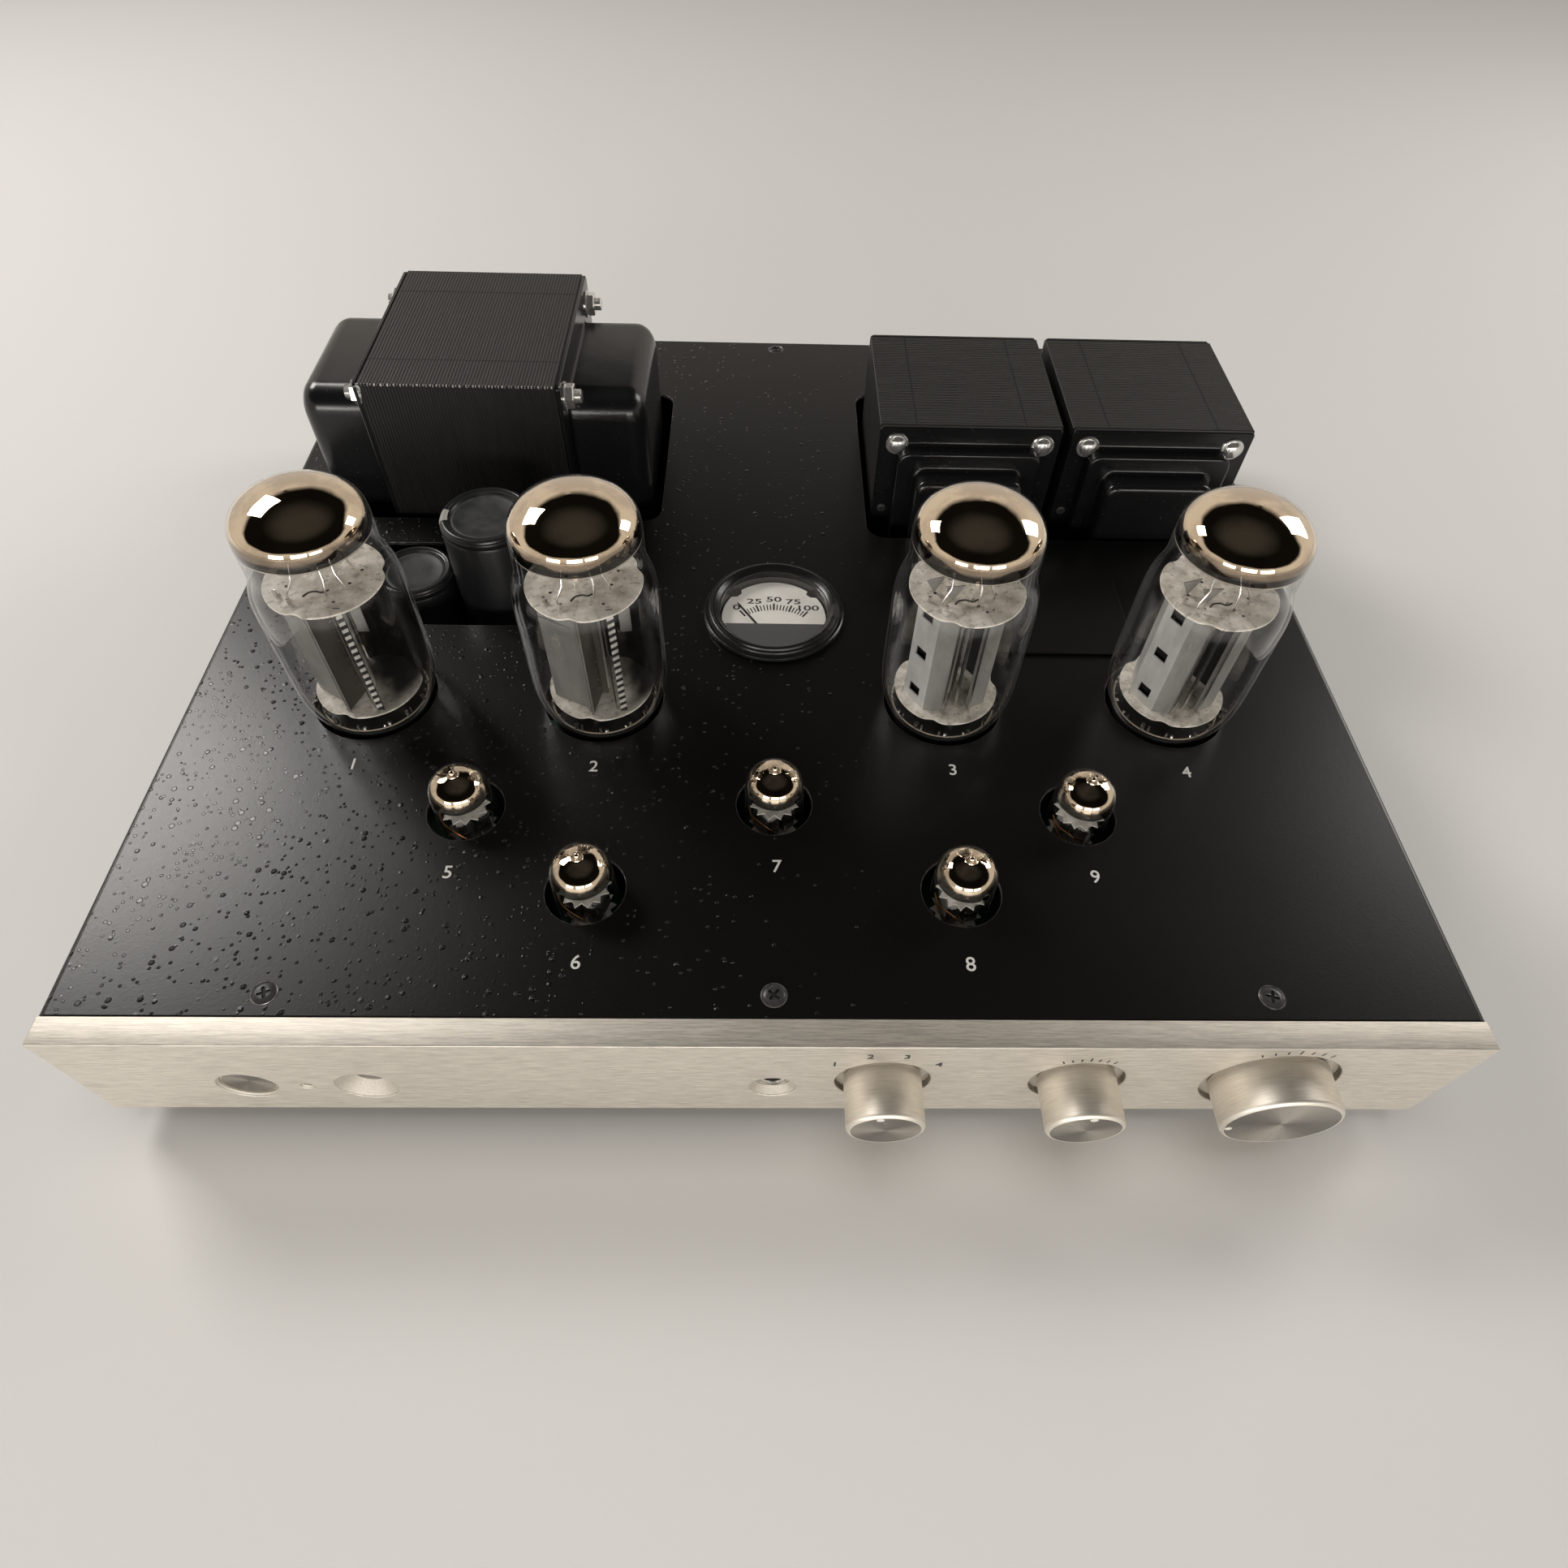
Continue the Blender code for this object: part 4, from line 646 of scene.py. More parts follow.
PLAIN = {
    "small_mica": dict(dark=(0.55, 0.52, 0.46), light=(0.88, 0.85, 0.78), rough=(0.35, 0.2),
                       scale=320, detail=4, noise=0.6, step=(0.3, 0.75), bump=(0.00015, 0.5)),
    # Plated metal with faint drawing marks
    "nickel": dict(dark=(0.55, 0.53, 0.50), light=(0.83, 0.81, 0.78), rough=(0.16, 0.18),
                   scale=1.0, detail=3, step=(0.25, 0.75), stretch=(900, 900, 60),
                   bump=(0.00004,), Metallic=1.0),
    "zinc": dict(dark=(0.80, 0.79, 0.77), light=(0.90, 0.89, 0.87), rough=(0.13, 0.08),
                 scale=500, detail=3, step=(0.3, 0.7), bump=(0.00001,), Metallic=0.85),
    "copper_strap": dict(dark=(0.42, 0.17, 0.07), light=(0.72, 0.40, 0.19), rough=(0.25, 0.2),
                         scale=260, detail=3, step=(0.35, 0.7), Metallic=1.0),
    # Bright steel where the varnish has worn off, and a painted highlight on the front edges of the
    # mains core's sheets
    "bare_steel_and_edge_highlight": dict(dark=(0.16, 0.155, 0.15), light=(0.72, 0.70, 0.66), rough=(0.3, 0.2),
                       scale=900, detail=3, step=(0.35, 0.65), Metallic=0.55),
    # Shrunk plastic sleeve of a capacitor, slightly wavy, and the pressed disc in its top
    "sleeve": dict(dark=(0.008, 0.008, 0.009), light=(0.017, 0.017, 0.018), rough=(0.24, 0.12),
                   scale=120, stretch=(1, 1, 0.3), bump=(0.0005, 0.4)),
    "can_top": dict(dark=(0.016, 0.017, 0.018), light=(0.034, 0.035, 0.037), rough=(0.42, 0.2),
                    scale=220, detail=4, step=(0.3, 0.75), bump=(0.0001,)),
    "dial_paper": dict(dark=(0.86, 0.83, 0.765), light=(0.95, 0.925, 0.87), rough=(0.55, 0.15),
                       scale=120, detail=4, step=(0.3, 0.75)),
    "rubber": dict(dark=(0.012, 0.012, 0.012), light=(0.026, 0.025, 0.024), rough=(0.75, 0.12),
                   scale=900, detail=3, bump=(0.0001,)),
    # Circuit board with a solder mask
    "board_green": dict(dark=(0.008, 0.05, 0.025), light=(0.014, 0.085, 0.04),
                        rough=(0.35, 0.15), scale=700, bump=(0.0001,)),
    # Clear lens of the lamp, unlit, and the dark filter behind the round recess
    "lamp_lens": dict(dark=(0.80, 0.80, 0.79), light=(0.95, 0.95, 0.93), rough=(0.12, 0.1),
                      scale=900),
    "dark_window": dict(dark=(0.045, 0.040, 0.037), light=(0.075, 0.066, 0.060),
                        rough=(0.1, 0.06), scale=300),
}


def plain(name):
    return grained(name, **PLAIN[name])


def blasted():
    """Bead-blasted aluminium in the recesses."""
    return grained("blasted", *aluminium(0.70, 0.92), (0.6, 0.12), 3200, step=(0.3, 0.7),
                   bump=(0.00006,), Metallic=1.0)


def turned_side():
    """Turned aluminium on the round of a knob: tool lines about its axis, in a colour lighter than
    the aluminium as painted light.
    """
    return grained("turned_side", *aluminium(1.04, 1.24), (0.45, 0.12), 1.0, 4, 0.7, (0.3, 0.7),
                   (120, 120, 3600), (0.00005,), Metallic=1.0, Anisotropic=0.4,
                   Anisotropic_Rotation=0.25)


def ink(name, tone):
    """Screen print, a little uneven in cover."""
    return grained(name, *shades(tone, 0.82, 1.0), (0.5, 0.1), 2400, step=(0.2, 0.8))


def coloured(name, tone):
    """Coloured plastic of a socket."""
    return grained(name, *shades(tone, 0.85, 1.0), (0.35, 0.12), 800)


def screw_grey():
    return moulded("screw_grey", 0.3, 0.034)


# Near-black floor of a cross slot: painted shade
def screw_slot():
    return moulded("screw_slot", 0.6, 0.003)


def screw_black():
    return moulded("screw_black", 0.28, 0.016)


def stem_glass():
    return glass("stem_glass", (0.9, 0.95, 0.95), 0.12)


# Fasteners

def cross_head(stock, where, radius, finish, dark, height):
    """Crown of a screw with a cross cut in it, as four raised quarters."""
    stock.turn([(0, 0.0), (radius * 0.98, 0.0), (radius, 0.12), (radius * 0.86, height * 0.55),
                (radius * 0.6, height * 0.7)], finish, 40, where)
    slot = radius * 0.13
    quarter = arc((0, 0), radius * 0.62, 2, 88, 8)
    line = [(slot, slot)] + [(max(slot, x), max(slot, y)) for x, y in quarter]
    for turn in range(0, 360, 90):
        stock.prism(line, height * 0.35, height * 0.78, finish, where @ spot(turn=turn),
                    radius * 0.05)
    # The floor of the cross takes the second finish; where that is the near-black slot finish, it
    # is painted shade
    stock.turn([(0, height * 0.32), (radius * 0.62, height * 0.32)], dark, 24, where)


def dome_bolt(stock, where, radius, height=3.2, washer=0.85):
    """Bright round-headed bolt on a washer."""
    dome = [(radius * cos(a), washer + (height - washer) * sin(a))
            for a in (radians(9 * i) for i in range(1, 10))]
    stock.turn([(0, 0), (radius * 1.28, 0), (radius * 1.28, 0.7), (radius * 1.22, washer),
                (radius, washer)] + dome + [(0, height)], 0, 36, where)


def hex_nut(stock, where, radius, height=4.2, pitch=0.6):
    """Nut on a washer at the end of a threaded bolt."""
    stock.turn([(0, 0), (radius * 1.12, 0), (radius * 1.12, 0.6), (radius * 1.06, 0.75),
                (radius * 0.8, 0.75)], 0, 32, where)
    stock.prism(circle(radius, 6), 0.7, height, 0, where, 0.4)
    thread = [(radius * 0.5, height - 0.4)]
    for k in range(5):
        level = height + pitch * k
        thread += [(radius * 0.50, level), (radius * 0.57, level + pitch / 2)]
    end = height + 3.1
    stock.turn(thread + [(radius * 0.42, end), (0, end)], 0, 24, where)


# Pieces

class AMPLIFIER_PG_looks(bpy.types.PropertyGroup):
    """Colours of the amplifier."""
    coat: FloatVectorProperty(
        name="Coat", description="Powder coat of the deck and case", subtype="COLOR",
        default=(0.0030, 0.0028, 0.0027), min=0, max=1)
    aluminium: FloatVectorProperty(
        name="Aluminium", description="Front plate and knobs", subtype="COLOR",
        default=(0.80, 0.755, 0.68), min=0, max=0.88)
    print: FloatVectorProperty(
        name="Print", description="Numbers printed on the deck", subtype="COLOR",
        default=(0.70, 0.69, 0.66), min=0, max=1)


class AMPLIFIER_PG_sizes(bpy.types.PropertyGroup):
    """Sizes that the looks add to the solids."""
    round_steps: IntProperty(
        name="Round steps", description="Sides of a large turned piece", default=96,
        min=24, max=256)
    deck_number: FloatProperty(
        name="Deck number", description="Height of a number on the deck", default=0.0072,
        unit="LENGTH", min=0.002, max=0.02)


class AMPLIFIER_PG_stage(bpy.types.PropertyGroup):
    """Floor, lights and camera."""
    floor: FloatVectorProperty(
        name="Floor", description="Colour of the floor", subtype="COLOR",
        default=(0.80, 0.79, 0.775), min=0, max=1)
    sky: FloatProperty(
        name="Sky", description="Strength of the pale wall all round", default=0.6, min=0, max=2)
    key: FloatProperty(
        name="Key", description="Power of the large light at the left", default=13.0,
        unit="POWER", min=0, max=200)
    side: FloatProperty(
        name="Side", description="Power of the light at the right", default=5.0,
        unit="POWER", min=0, max=200)
    front: FloatProperty(
        name="Front", description="Power of each low light in front", default=6.0,
        unit="POWER", min=0, max=200)
    top: FloatProperty(
        name="Top", description="Power of the wide light overhead", default=9.0,
        unit="POWER", min=0, max=200)
    lens: FloatProperty(
        name="Lens", description="Focal length in millimetres", default=22.54, min=10, max=120)


class AMPLIFIER_OT_stage(bpy.types.Operator):
    """Set the floor, the soft lights and the camera"""
    bl_idname = "amplifier.stage"
    bl_label = "Stage"
    floor_half = 3.0
    lamp_tint = (1.0, 0.965, 0.92)
    wall = (1.0, 0.92, 0.82)
    eye = (-4.78, -128.04, 290.55)
    right = (0.99968, -0.00658, 0.02419)
    up = (-0.00939, 0.79630, 0.60481)
    ahead = (0.02324, 0.60484, -0.79600)

    def execute(self, context):
        scene = context.scene
        stage = scene.amplifier_stage
        scene.view_settings.view_transform = "Standard"
        plane = bmesh.new()
        bmesh.ops.create_grid(plane, x_segments=8, y_segments=8, size=self.floor_half)
        data = bpy.data.meshes.new("floor")
        plane.to_mesh(data)
        plane.free()
        data.materials.append(pale_floor())
        ground = bpy.data.objects.new("floor", data)
        scene.collection.objects.link(ground)
        scene.world = self.studio(stage.sky)

        self.softbox("key", (-1.15, 0.70, 1.15), (-0.08, -0.05, 0.05), (0.58, 0.5), stage.key)
        self.softbox("right", (1.25, 0.6, 0.75), (0.0, 0.0, 0.05), (0.45, 0.6), stage.side)
        top = self.softbox("top", (0.0, -0.1, 1.9), (0.0, -0.05, 0.0), (1.2, 1.0), stage.top)
        top.visible_glossy = False
        for i, (x, share) in enumerate(((-0.85, 1.1), (0.05, 1.1), (0.80, 0.6)), 1):
            self.softbox(f"front_{i}", (x, -1.5, 0.30), (0.3 * x, -0.1, 0.06), (0.6, 0.34),
                         stage.front * share)

        lens = give(bpy.data.cameras.new("camera"), lens=stage.lens, sensor_width=36.0,
                    clip_start=0.01, clip_end=50.0)
        camera = bpy.data.objects.new("camera", lens)
        turn = Matrix((self.right, self.up, -Vector(self.ahead))).transposed().to_4x4()
        camera.matrix_world = rigid(*self.eye, turn)
        scene.collection.objects.link(camera)
        scene.camera = camera
        return {"FINISHED"}

    def studio(self, strength):
        """Pale wall all round under a dark ceiling that glows a little at its middle."""
        world = bpy.data.worlds.new("studio")
        world.use_nodes = True
        nodes = world.node_tree.nodes
        back = nodes["Background"]
        ray = Wire(nodes.new("ShaderNodeTexCoord").outputs["Generated"])
        up = ray.axis("Z")
        level = up - ray.axis("Y").step(-0.3, 0.6) * 0.25 + (ray.grain(1.7, 2) - 0.5) * 0.22
        ceiling = up.step(0.76, 1.0).mix((0.008, 0.007, 0.006), (0.060, 0.056, 0.050))
        plug(back.inputs["Color"], level.step(0.38, 0.26).mix(ceiling, self.wall))
        plug(back.inputs["Strength"], strength)
        return world

    def softbox(self, name, where, target, size, power):
        light = give(bpy.data.lights.new(name, "AREA"), shape="RECTANGLE", size=size[0],
                     size_y=size[1], energy=power, color=self.lamp_tint)
        made = bpy.data.objects.new(name, light)
        made.location = where
        aim = Vector(target) - Vector(where)
        made.rotation_euler = aim.to_track_quat("-Z", "Y").to_euler()
        bpy.context.scene.collection.objects.link(made)
        return made


class AMPLIFIER_OT_deck(bpy.types.Operator):
    """Fold the deck with its openings, and fit the cover plate and the screws"""
    bl_idname = "amplifier.deck"
    bl_label = "Deck"
    fold = 2.2
    sheet = 1.6
    front = 0.3

    def openings(self):
        steps = bpy.context.scene.amplifier_sizes.round_steps
        rounds = [(f"{tube}_glass", 23.3) for tube in POWER_TUBES]
        rounds += [(f"{tube}_glass", 13.83) for tube in SMALL_TUBES]
        rounds.append(("meter_window", 26.2))
        holes = [circle(radius, steps, middle(node)[:2]) for node, radius in rounds]
        core, left, right = (extent(f"power_transformer_{name}")
                             for name in ("core", "bell_left", "bell_right"))
        holes.append(self.around(left[0].x, core[0].y, right[1].x, core[1].y, 4.5, 9))
        left, right, rear = (extent(f"output_transformer_{name}") for name in
                             ("left_bell_front", "right_bell_front", "right_bell_rear"))
        holes.append(self.around(left[0].x, left[0].y, right[1].x, rear[1].y, 3.0, 9))
        tall, short = extent("capacitor_tall"), extent("capacitor_short")
        low = min(tall[0].y, short[0].y) - 7.5
        holes.append(self.around(short[0].x, low, tall[1].x, tall[1].y, 4.0, 4))
        return holes

    def around(self, left, front, right, back, margin, radius):
        return rounded(right - left + 2 * margin, back - front + 2 * margin, radius, 8,
                       ((left + right) / 2, (front + back) / 2))

    def execute(self, context):
        deck = Stock()
        flat = CASE_HALF - self.fold
        rim = ((-flat, self.front), (flat, self.front), (flat, CASE_DEPTH), (-flat, CASE_DEPTH))
        curve = sheet_with_holes([rim, *self.openings()], self.sheet, 0.18)
        for face in deck.take(curve, 0, spot(z=-self.sheet / 2)):
            centre = face.calc_center_median()
            inside = abs(centre.x) < flat - 1 and 1.5 < centre.y < CASE_DEPTH - 1
            if inside and abs(face.normal.z) < 0.97:
                face.material_index = 1
            face.smooth = abs(face.normal.z) < 0.98
        low = -CASE_HEIGHT + 0.3
        bend = arc((flat, -self.fold), self.fold, 90, 0, 8)
        inner = arc((flat, -self.fold), self.fold - self.sheet, 0, 90, 4)
        line = bend + [(CASE_HALF, low + 0.2), (CASE_HALF - 0.2, low),
                       (CASE_HALF - self.sheet, low)] + inner
        for side in (-1, 1):
            deck.loft([[(side * x, y, z) for x, z in line] for y in (self.front, CASE_DEPTH)])
        deck.done("deck_cover", [satin_black(), cut_edge()], slot="black_steel",
                  replaces=["top_cover"])

        plate = Stock()
        low, high = extent("access_cover")
        plate.prism(self.around(low.x, low.y, high.x, high.y, 0, 4), low.z, high.z, edge=0.25)
        plate.done("deck_plate", [satin_black()], slot="black_steel", replaces=["access_cover"])

        screws = Stock()
        for x, y, turn in ((-161, 7.9, 20), (0, 7.9, 50), (161, 7.9, 75), (1.0, 398.4, 10)):
            where = spot(x, y, -0.05, turn)
            screws.turn([(3.75, 0.08), (3.9, 0.2), (4.15, 0.22), (4.35, 0.08)], 2, 40, where)
            cross_head(screws, where, 3.7, 0, 1, 0.95)
        screws.done("deck_screws", [screw_grey(), screw_slot(), cut_edge()], slot="black_steel")
        return {"FINISHED"}


class AMPLIFIER_OT_front(bpy.types.Operator):
    """Mill the front plate, and fit the lamp, the round window and the headphone socket"""
    bl_idname = "amplifier.front"
    bl_label = "Front plate"
    through = -9.4
    rim = 0.4
    socket_ring = ((3.2, -30), (3.2, -3.3), (3.45, -2.95), (4.1, -2.85), (4.3, -3.3),
                   (4.9, -3.35), (5.1, -2.75), (5.5, -2.8), (5.6, -3.3), (5.6, -11.4))

    def recesses(self):
        """Name, middle, and profile of each recess from the mouth inward."""
        mouths = {"button": [(9.75, -0.4), (9.2, -0.9)],
                  "lamp": [(2.3, -0.4), (1.8, -0.9)],
                  "window": [(10.3, -0.4), (5.4, -5.0), (5.2, -5.3)],
                  "phones": [(7.9, -0.4), (6.4, -2.2), (5.9, -2.8)]}
        nodes = {"button": "power_button", "lamp": "indicator_lamp", "window": "remote_window",
                 "phones": "headphone_jack"}
        for kind, radius in (("selector", 15.9), ("balance", 15.9), ("volume", 22.4)):
            nodes[kind] = f"{kind}_knob"
            mouths[kind] = [(radius, -0.4), (radius, -2.6), (radius - 0.35, -3.0), (5.1, -3.0)]
        return [(f"{kind}_recess", middle(nodes[kind]), seat + [(seat[-1][0], self.through)])
                for kind, seat in mouths.items()]

    def execute(self, context):
        steps = context.scene.amplifier_sizes.round_steps
        recesses = self.recesses()
        rim = rounded(2 * CASE_HALF, CASE_HEIGHT, 0.7, 3, (0, -CASE_HEIGHT / 2))
        mouths = [circle(seat[0][0], steps, (at.x, at.z)) for name, at, seat in recesses]
        plate = Stock()
        curve = sheet_with_holes([rim, *mouths], -FRONT_FACE, self.rim)
        for face in plate.take(curve, 0, spot(y=FRONT_FACE / 2) @ FORWARD):
            face.smooth = abs(face.normal.y) < 0.98
        plate.done("front_plate", [brushed_front()], slot="faceplate", replaces=["faceplate"])
        for name, at, seat in recesses:
            turned(name, seat + [(seat[0][0], self.through), seat[0]], blasted(), steps,
                   "faceplate", place=rigid(at.x, FRONT_FACE, at.z, FORWARD))
        turned("lamp", [(0, -0.9), (0.6, -0.98), (1.1, -1.25), (1.45, -1.8), (1.5, -11)],
               plain("lamp_lens"), 32, "lamp", ["indicator_lamp"],
               where=self.at("indicator_lamp"))
        turned("round_window", [(0, -4.0), (3.6, -4.02), (4.7, -4.15), (5.0, -4.5),
                                (5.0, self.through)], plain("dark_window"), 48, "window",
               ["remote_window"], where=self.at("remote_window"))
        socket = Stock()
        where = self.at("headphone_jack")
        socket.turn(self.socket_ring, 0, 64, where)
        socket.turn([(0, -29), (3.25, -29)], 1, 32, where)
        socket.block((-8, -7, -37.6), (8, 7, -11.7), 1, where, 0.5)
        socket.done("headphone_socket", [plain("nickel"), moulded("socket_black", 0.5, 0.006)],
                    slot="nickel", replaces=["headphone_jack"])
        return {"FINISHED"}

    def at(self, node):
        centre = middle(node)
        return spot(centre.x, FRONT_FACE, centre.z) @ FORWARD


class AMPLIFIER_OT_knobs(bpy.types.Operator):
    """Turn the three knobs and the power button"""
    bl_idname = "amplifier.knobs"
    bl_label = "Knobs"
    rim = 1.45
    dish = 0.05
    kinds = (("selector", 12.95, 16.4, 15), ("balance", 12.95, 16.4, 0),
             ("volume", 19.35, 14.2, 105))

    def execute(self, context):
        steps = context.scene.amplifier_sizes.round_steps
        for kind, radius, reach, turn in self.kinds:
            knob = Stock()
            knob.turn([(3.0, -20), (3.0, -2.0), (radius - 0.5, -2.0), (radius, -1.5),
                       (radius, reach - 1.5)], 1, steps)
            knob.turn(arc((radius - self.rim, reach - 1.5), self.rim, 0, 90, 8), 1, steps)
            dimple, face = radius - 2.7, reach - self.dish
            knob.turn([(radius - self.rim, face), (dimple * 0.5, face), (0, face)], 0, steps)
            mark = spot(0, dimple, face)
            knob.turn([(1.3, 0.0), (1.2, 0.05), (1.05, 0.05)], 1, 24, mark)
            # The dimple's floor takes the pale dimple ink: a painted highlight in place of its
            # glint
            knob.turn([(1.1, 0.05), (0.8, 0.02), (0.35, 0.045), (0, 0.05)], 2, 24, mark)
            finishes = [spun_face(), turned_side(), ink("dimple", (0.80, 0.78, 0.74))]
            knob.done(f"{kind}_dial_knob", finishes, kind, "knob", [f"{kind}_knob"],
                      rigid(middle(f"{kind}_knob").x, FRONT_FACE, KNOB_LINE,
                            FORWARD @ spot(turn=turn)))
        button = Stock()
        button.turn([(0, -1.75), (3.0, -1.68), (6.0, -1.48), (8.2, -1.25), (8.6, -1.2)], 0, steps)
        button.turn(arc((8.6, -1.6), 0.4, 90, 0, 5) + [(9.0, -5.7), (2.5, -5.7), (2.5, -18)],
                    1, steps)
        button.done("push_button", [spun_face("button_face", 0.42), turned_side()], "button",
                    "knob", ["power_button"],
                    rigid(middle("power_button").x, FRONT_FACE, BUTTON_LINE, FORWARD))
        return {"FINISHED"}


class AMPLIFIER_OT_power_tubes(bpy.types.Operator):
    """Blow the four large bulbs, and fit their electrodes, films and bases"""
    bl_idname = "amplifier.power_tubes"
    bl_label = "Power tubes"
    outline = ((20.6, 0.4), (21.7, 1.4), (22.9, 3.4), (24.4, 8.0), (25.35, 14.0), (25.6, 22.0),
               (25.6, 38.0), (25.6, 50.0), (25.45, 55.5), (24.9, 60.0), (23.7, 63.8),
               (22.7, 67.0), (22.35, 70.5), (22.3, 75.0), (22.3, 79.5), (22.3, 82.4),
               (21.9, 85.2), (20.7, 87.7), (18.6, 90.0), (15.8, 91.9), (12.4, 93.5),
               (8.0, 94.8), (3.8, 95.45), (0.0, 95.65))
    foot = ((0, -0.2), (19.6, -0.2), (20.3, -0.9), (20.5, -2.0), (20.5, -12.4), (20.1, -13),
            (16.8, -13), (16.8, -16), (3.9, -16), (3.9, -29), (3.4, -29.5), (0, -29.5))
    wall = 1.2
    low, top = 8.8, 59.0
    disc_face = 59.86
    # Finishes of a cage, by their places in its list
    GREY, DARK, BRIGHT, MICA, SLOT, WHITE, STEM, LINE, MID, FACE = range(10)

    def execute(self, context):
        steps = context.scene.amplifier_sizes.round_steps
        for i, tube in enumerate(POWER_TUBES):
            place = rigid(*middle(f"{tube}_glass")[:2])
            self.bulb(tube, place, steps, i < 2)
            if i < 2:
                self.finned(tube, place, 7 * i)
            else:
                self.boxed(tube, place, -3 * i)
            base = Stock()
            base.turn(self.foot, 0, 64)
            for x, y in circle(8.7, 8):
                base.turn([(0, -27), (0.9, -26.8), (1.2, -26.2), (1.2, -16)], 1, 12, spot(x, y))
            base.done(f"{tube}_foot", [moulded("tube_base", 0.35, 0.010), plain("nickel")],
                      slot="tube_base", replaces=[f"{tube}_base"], place=place)
        return {"FINISHED"}

    def bulb(self, tube, place, steps, burnt):
        outer = smooth_line(self.outline)
        inner = [(max(r - self.wall, 0.0), z - (self.wall if r < 12 else 0.0)) for r, z in outer]
        turned(f"{tube}_bulb", outer + inner[::-1], glass(), steps, "tube_glass",
               [f"{tube}_glass"], place)
        film = Stock()
        film.turn([(max(r - 0.12, 0), z - 0.08) for r, z in outer if z > 78.4], 0, steps)
        finishes = [getter_mirror()]
        if burnt:
            film.turn([(r - 0.2, z) for r, z in inner if 12.5 < z < 56], 1, steps, None, -90, 170)
            finishes.append(burnt_film())
        film.done(f"{tube}_getter", finishes, slot="nickel", place=place)

    def discs(self, stock, notch):
        """Upper and lower insulating discs, with slots and holes on the upper drawn as near-black
        marks: painted shade in place of openings.
        """
        for level, radius in ((8.0, 19.9), (self.top, 20.6)):
            outline = []
            for a in (tau * k / 96 for k in range(96)):
                bite = 1.4 * max(0.0, cos(3 * (a - notch))) ** 14
                outline.append(polar(radius - bite, a))
            stock.prism(outline, level, level + 0.8, self.MICA, None, 0.15)
        wave = ((-4.5, -10.2), (-3.2, -8.2), (-0.8, -7.4), (1.4, -8.0), (3.4, -6.6))
        stock.wire(smooth_line(raised(wave, self.disc_face)), 0.32, self.SLOT, 6)
        for x, y in ((-11.5, -5.0), (9.5, -3.0), (6.5, -12.5), (-6.0, 3.0), (12.0, 4.0)):
            hole = [(0, 59.88), (0.55, self.disc_face), (0.62, 59.8)]
            stock.turn(hole, self.SLOT, 12, spot(x, y))

    def fins(self, stock):
        """Cooling fins that stand on the upper disc."""
        for x, y, turn in ((-12.0, -5.0, 20), (-5.6, -8.2, 5)):
            stock.loft([[(-3.3, s, 6.0), (3.6, s, 6.8), (0.2, s, 0.0)] for s in (0, 0.35)],
                       self.GREY, spot(x, y, 59.8, turn))

    def top_works(self, stock):
        """Support wires, tabs and a ring above the upper disc."""
        for x, y, lean in ((-9.0, -11.0, 1.5), (3.5, -9.5, 0.6), (9.0, -6.0, -1.2),
                           (-3.0, 9.0, 0.4), (6.0, 8.0, -0.5)):
            stock.wire([(x, y, 56), (x, y, 61.5), (x * 0.9 + lean, y * 0.85, 66),
                        (x * 0.7, y * 0.6, 71)], 0.4, self.BRIGHT)
        for x, y in ((-13.4, -9.6), (-7.6, -13.6)):
            stock.block((x - 0.6, y - 0.6, 57.0), (x + 0.6, y + 0.3, 62.4), self.BRIGHT,
                        edge=0.15)
        stock.wire(hoop(7, 5, 70, 24), 0.7, self.DARK)

    def under_works(self, stock):
        """Stem below the lower disc with its lead wires, and the pale drops at the foot."""
        stem = [(13.0, 0.6), (12.0, 2.0), (8.0, 3.0), (5.0, 5.0), (4.0, 7.6)]
        stock.turn(stem, self.STEM, 40)
        for a in (tau * (k + 0.5) / 8 for k in range(8)):
            lead = ((9, 1.5), (12, 5), (13.5, 8))
            stock.wire([(*polar(r, a), z) for r, z in lead], 0.55, self.BRIGHT)
        for k in range(26):
            a = radians(13.8 * k + 5 * sin(3.1 * k))
            tall = 3.4 + 1.0 * sin(5.3 * k)
            stock.wire([(*polar(19.9, a), 1.9), (*polar(19.6, a), tall)],
                       0.62 + 0.24 * sin(2.3 * k), self.BRIGHT)
        # A thin warm ring along the glass foot: a painted highlight in place of the reflection
        # along its lower edge
        stock.turn(arc((20.0, 1.3), 0.3, 0, 360, 8), self.LINE, 96)

    def boxed(self, tube, place, turn):
        """Anode of two folded halves, with windows in the side legs and grids in the gap."""
        stock = Stock()
        half = [(-1.3, -12.4), (-1.3, -14.0), (-8.8, -13.6), (-16.4, -4.6), (-14.4, 6.8),
                (-8.4, 11.3), (-8.0, 9.8)]
        halves = (half, mirrored(half, Vector((0.27, -0.963))))
        windows = [(0, 0.30, 0.78, z, z + 4.6) for z in (12.5, 31.5, 50.0)]
        # The front legs and the side legs are two tones of one coat: painted shade in front,
        # painted light on the sides
        for line in halves:
            stock.sheet(line[:3], self.low, self.top, 0.55, self.FACE)
            stock.sheet(line[2:], self.low, self.top, 0.55, self.MID, windows)
        # Near-black sheets just inside the two halves: painted shade for the dark inside of the
        # anode
        for line in halves:
            shrunk = [tuple(0.84 * c for c in p) for p in line[2:5]]
            stock.sheet(shrunk, 9.0, 58.8, 0.3, self.SLOT)
        for x, y, radius in ((-1.5, -14.35, 0.5), (3.4, -10.6, 0.75), (1.6, -7.4, 0.6),
                             (8.6, -11.7, 0.4), (-3.0, 10.6, 0.75)):
            stock.wire([(x, y, 8.6), (x, y, 60.5)], radius, self.BRIGHT, 10)
        self.cathode(stock, 0.4, -1.6)
        self.fins(stock)
        self.finish(stock, tube, place, turn)

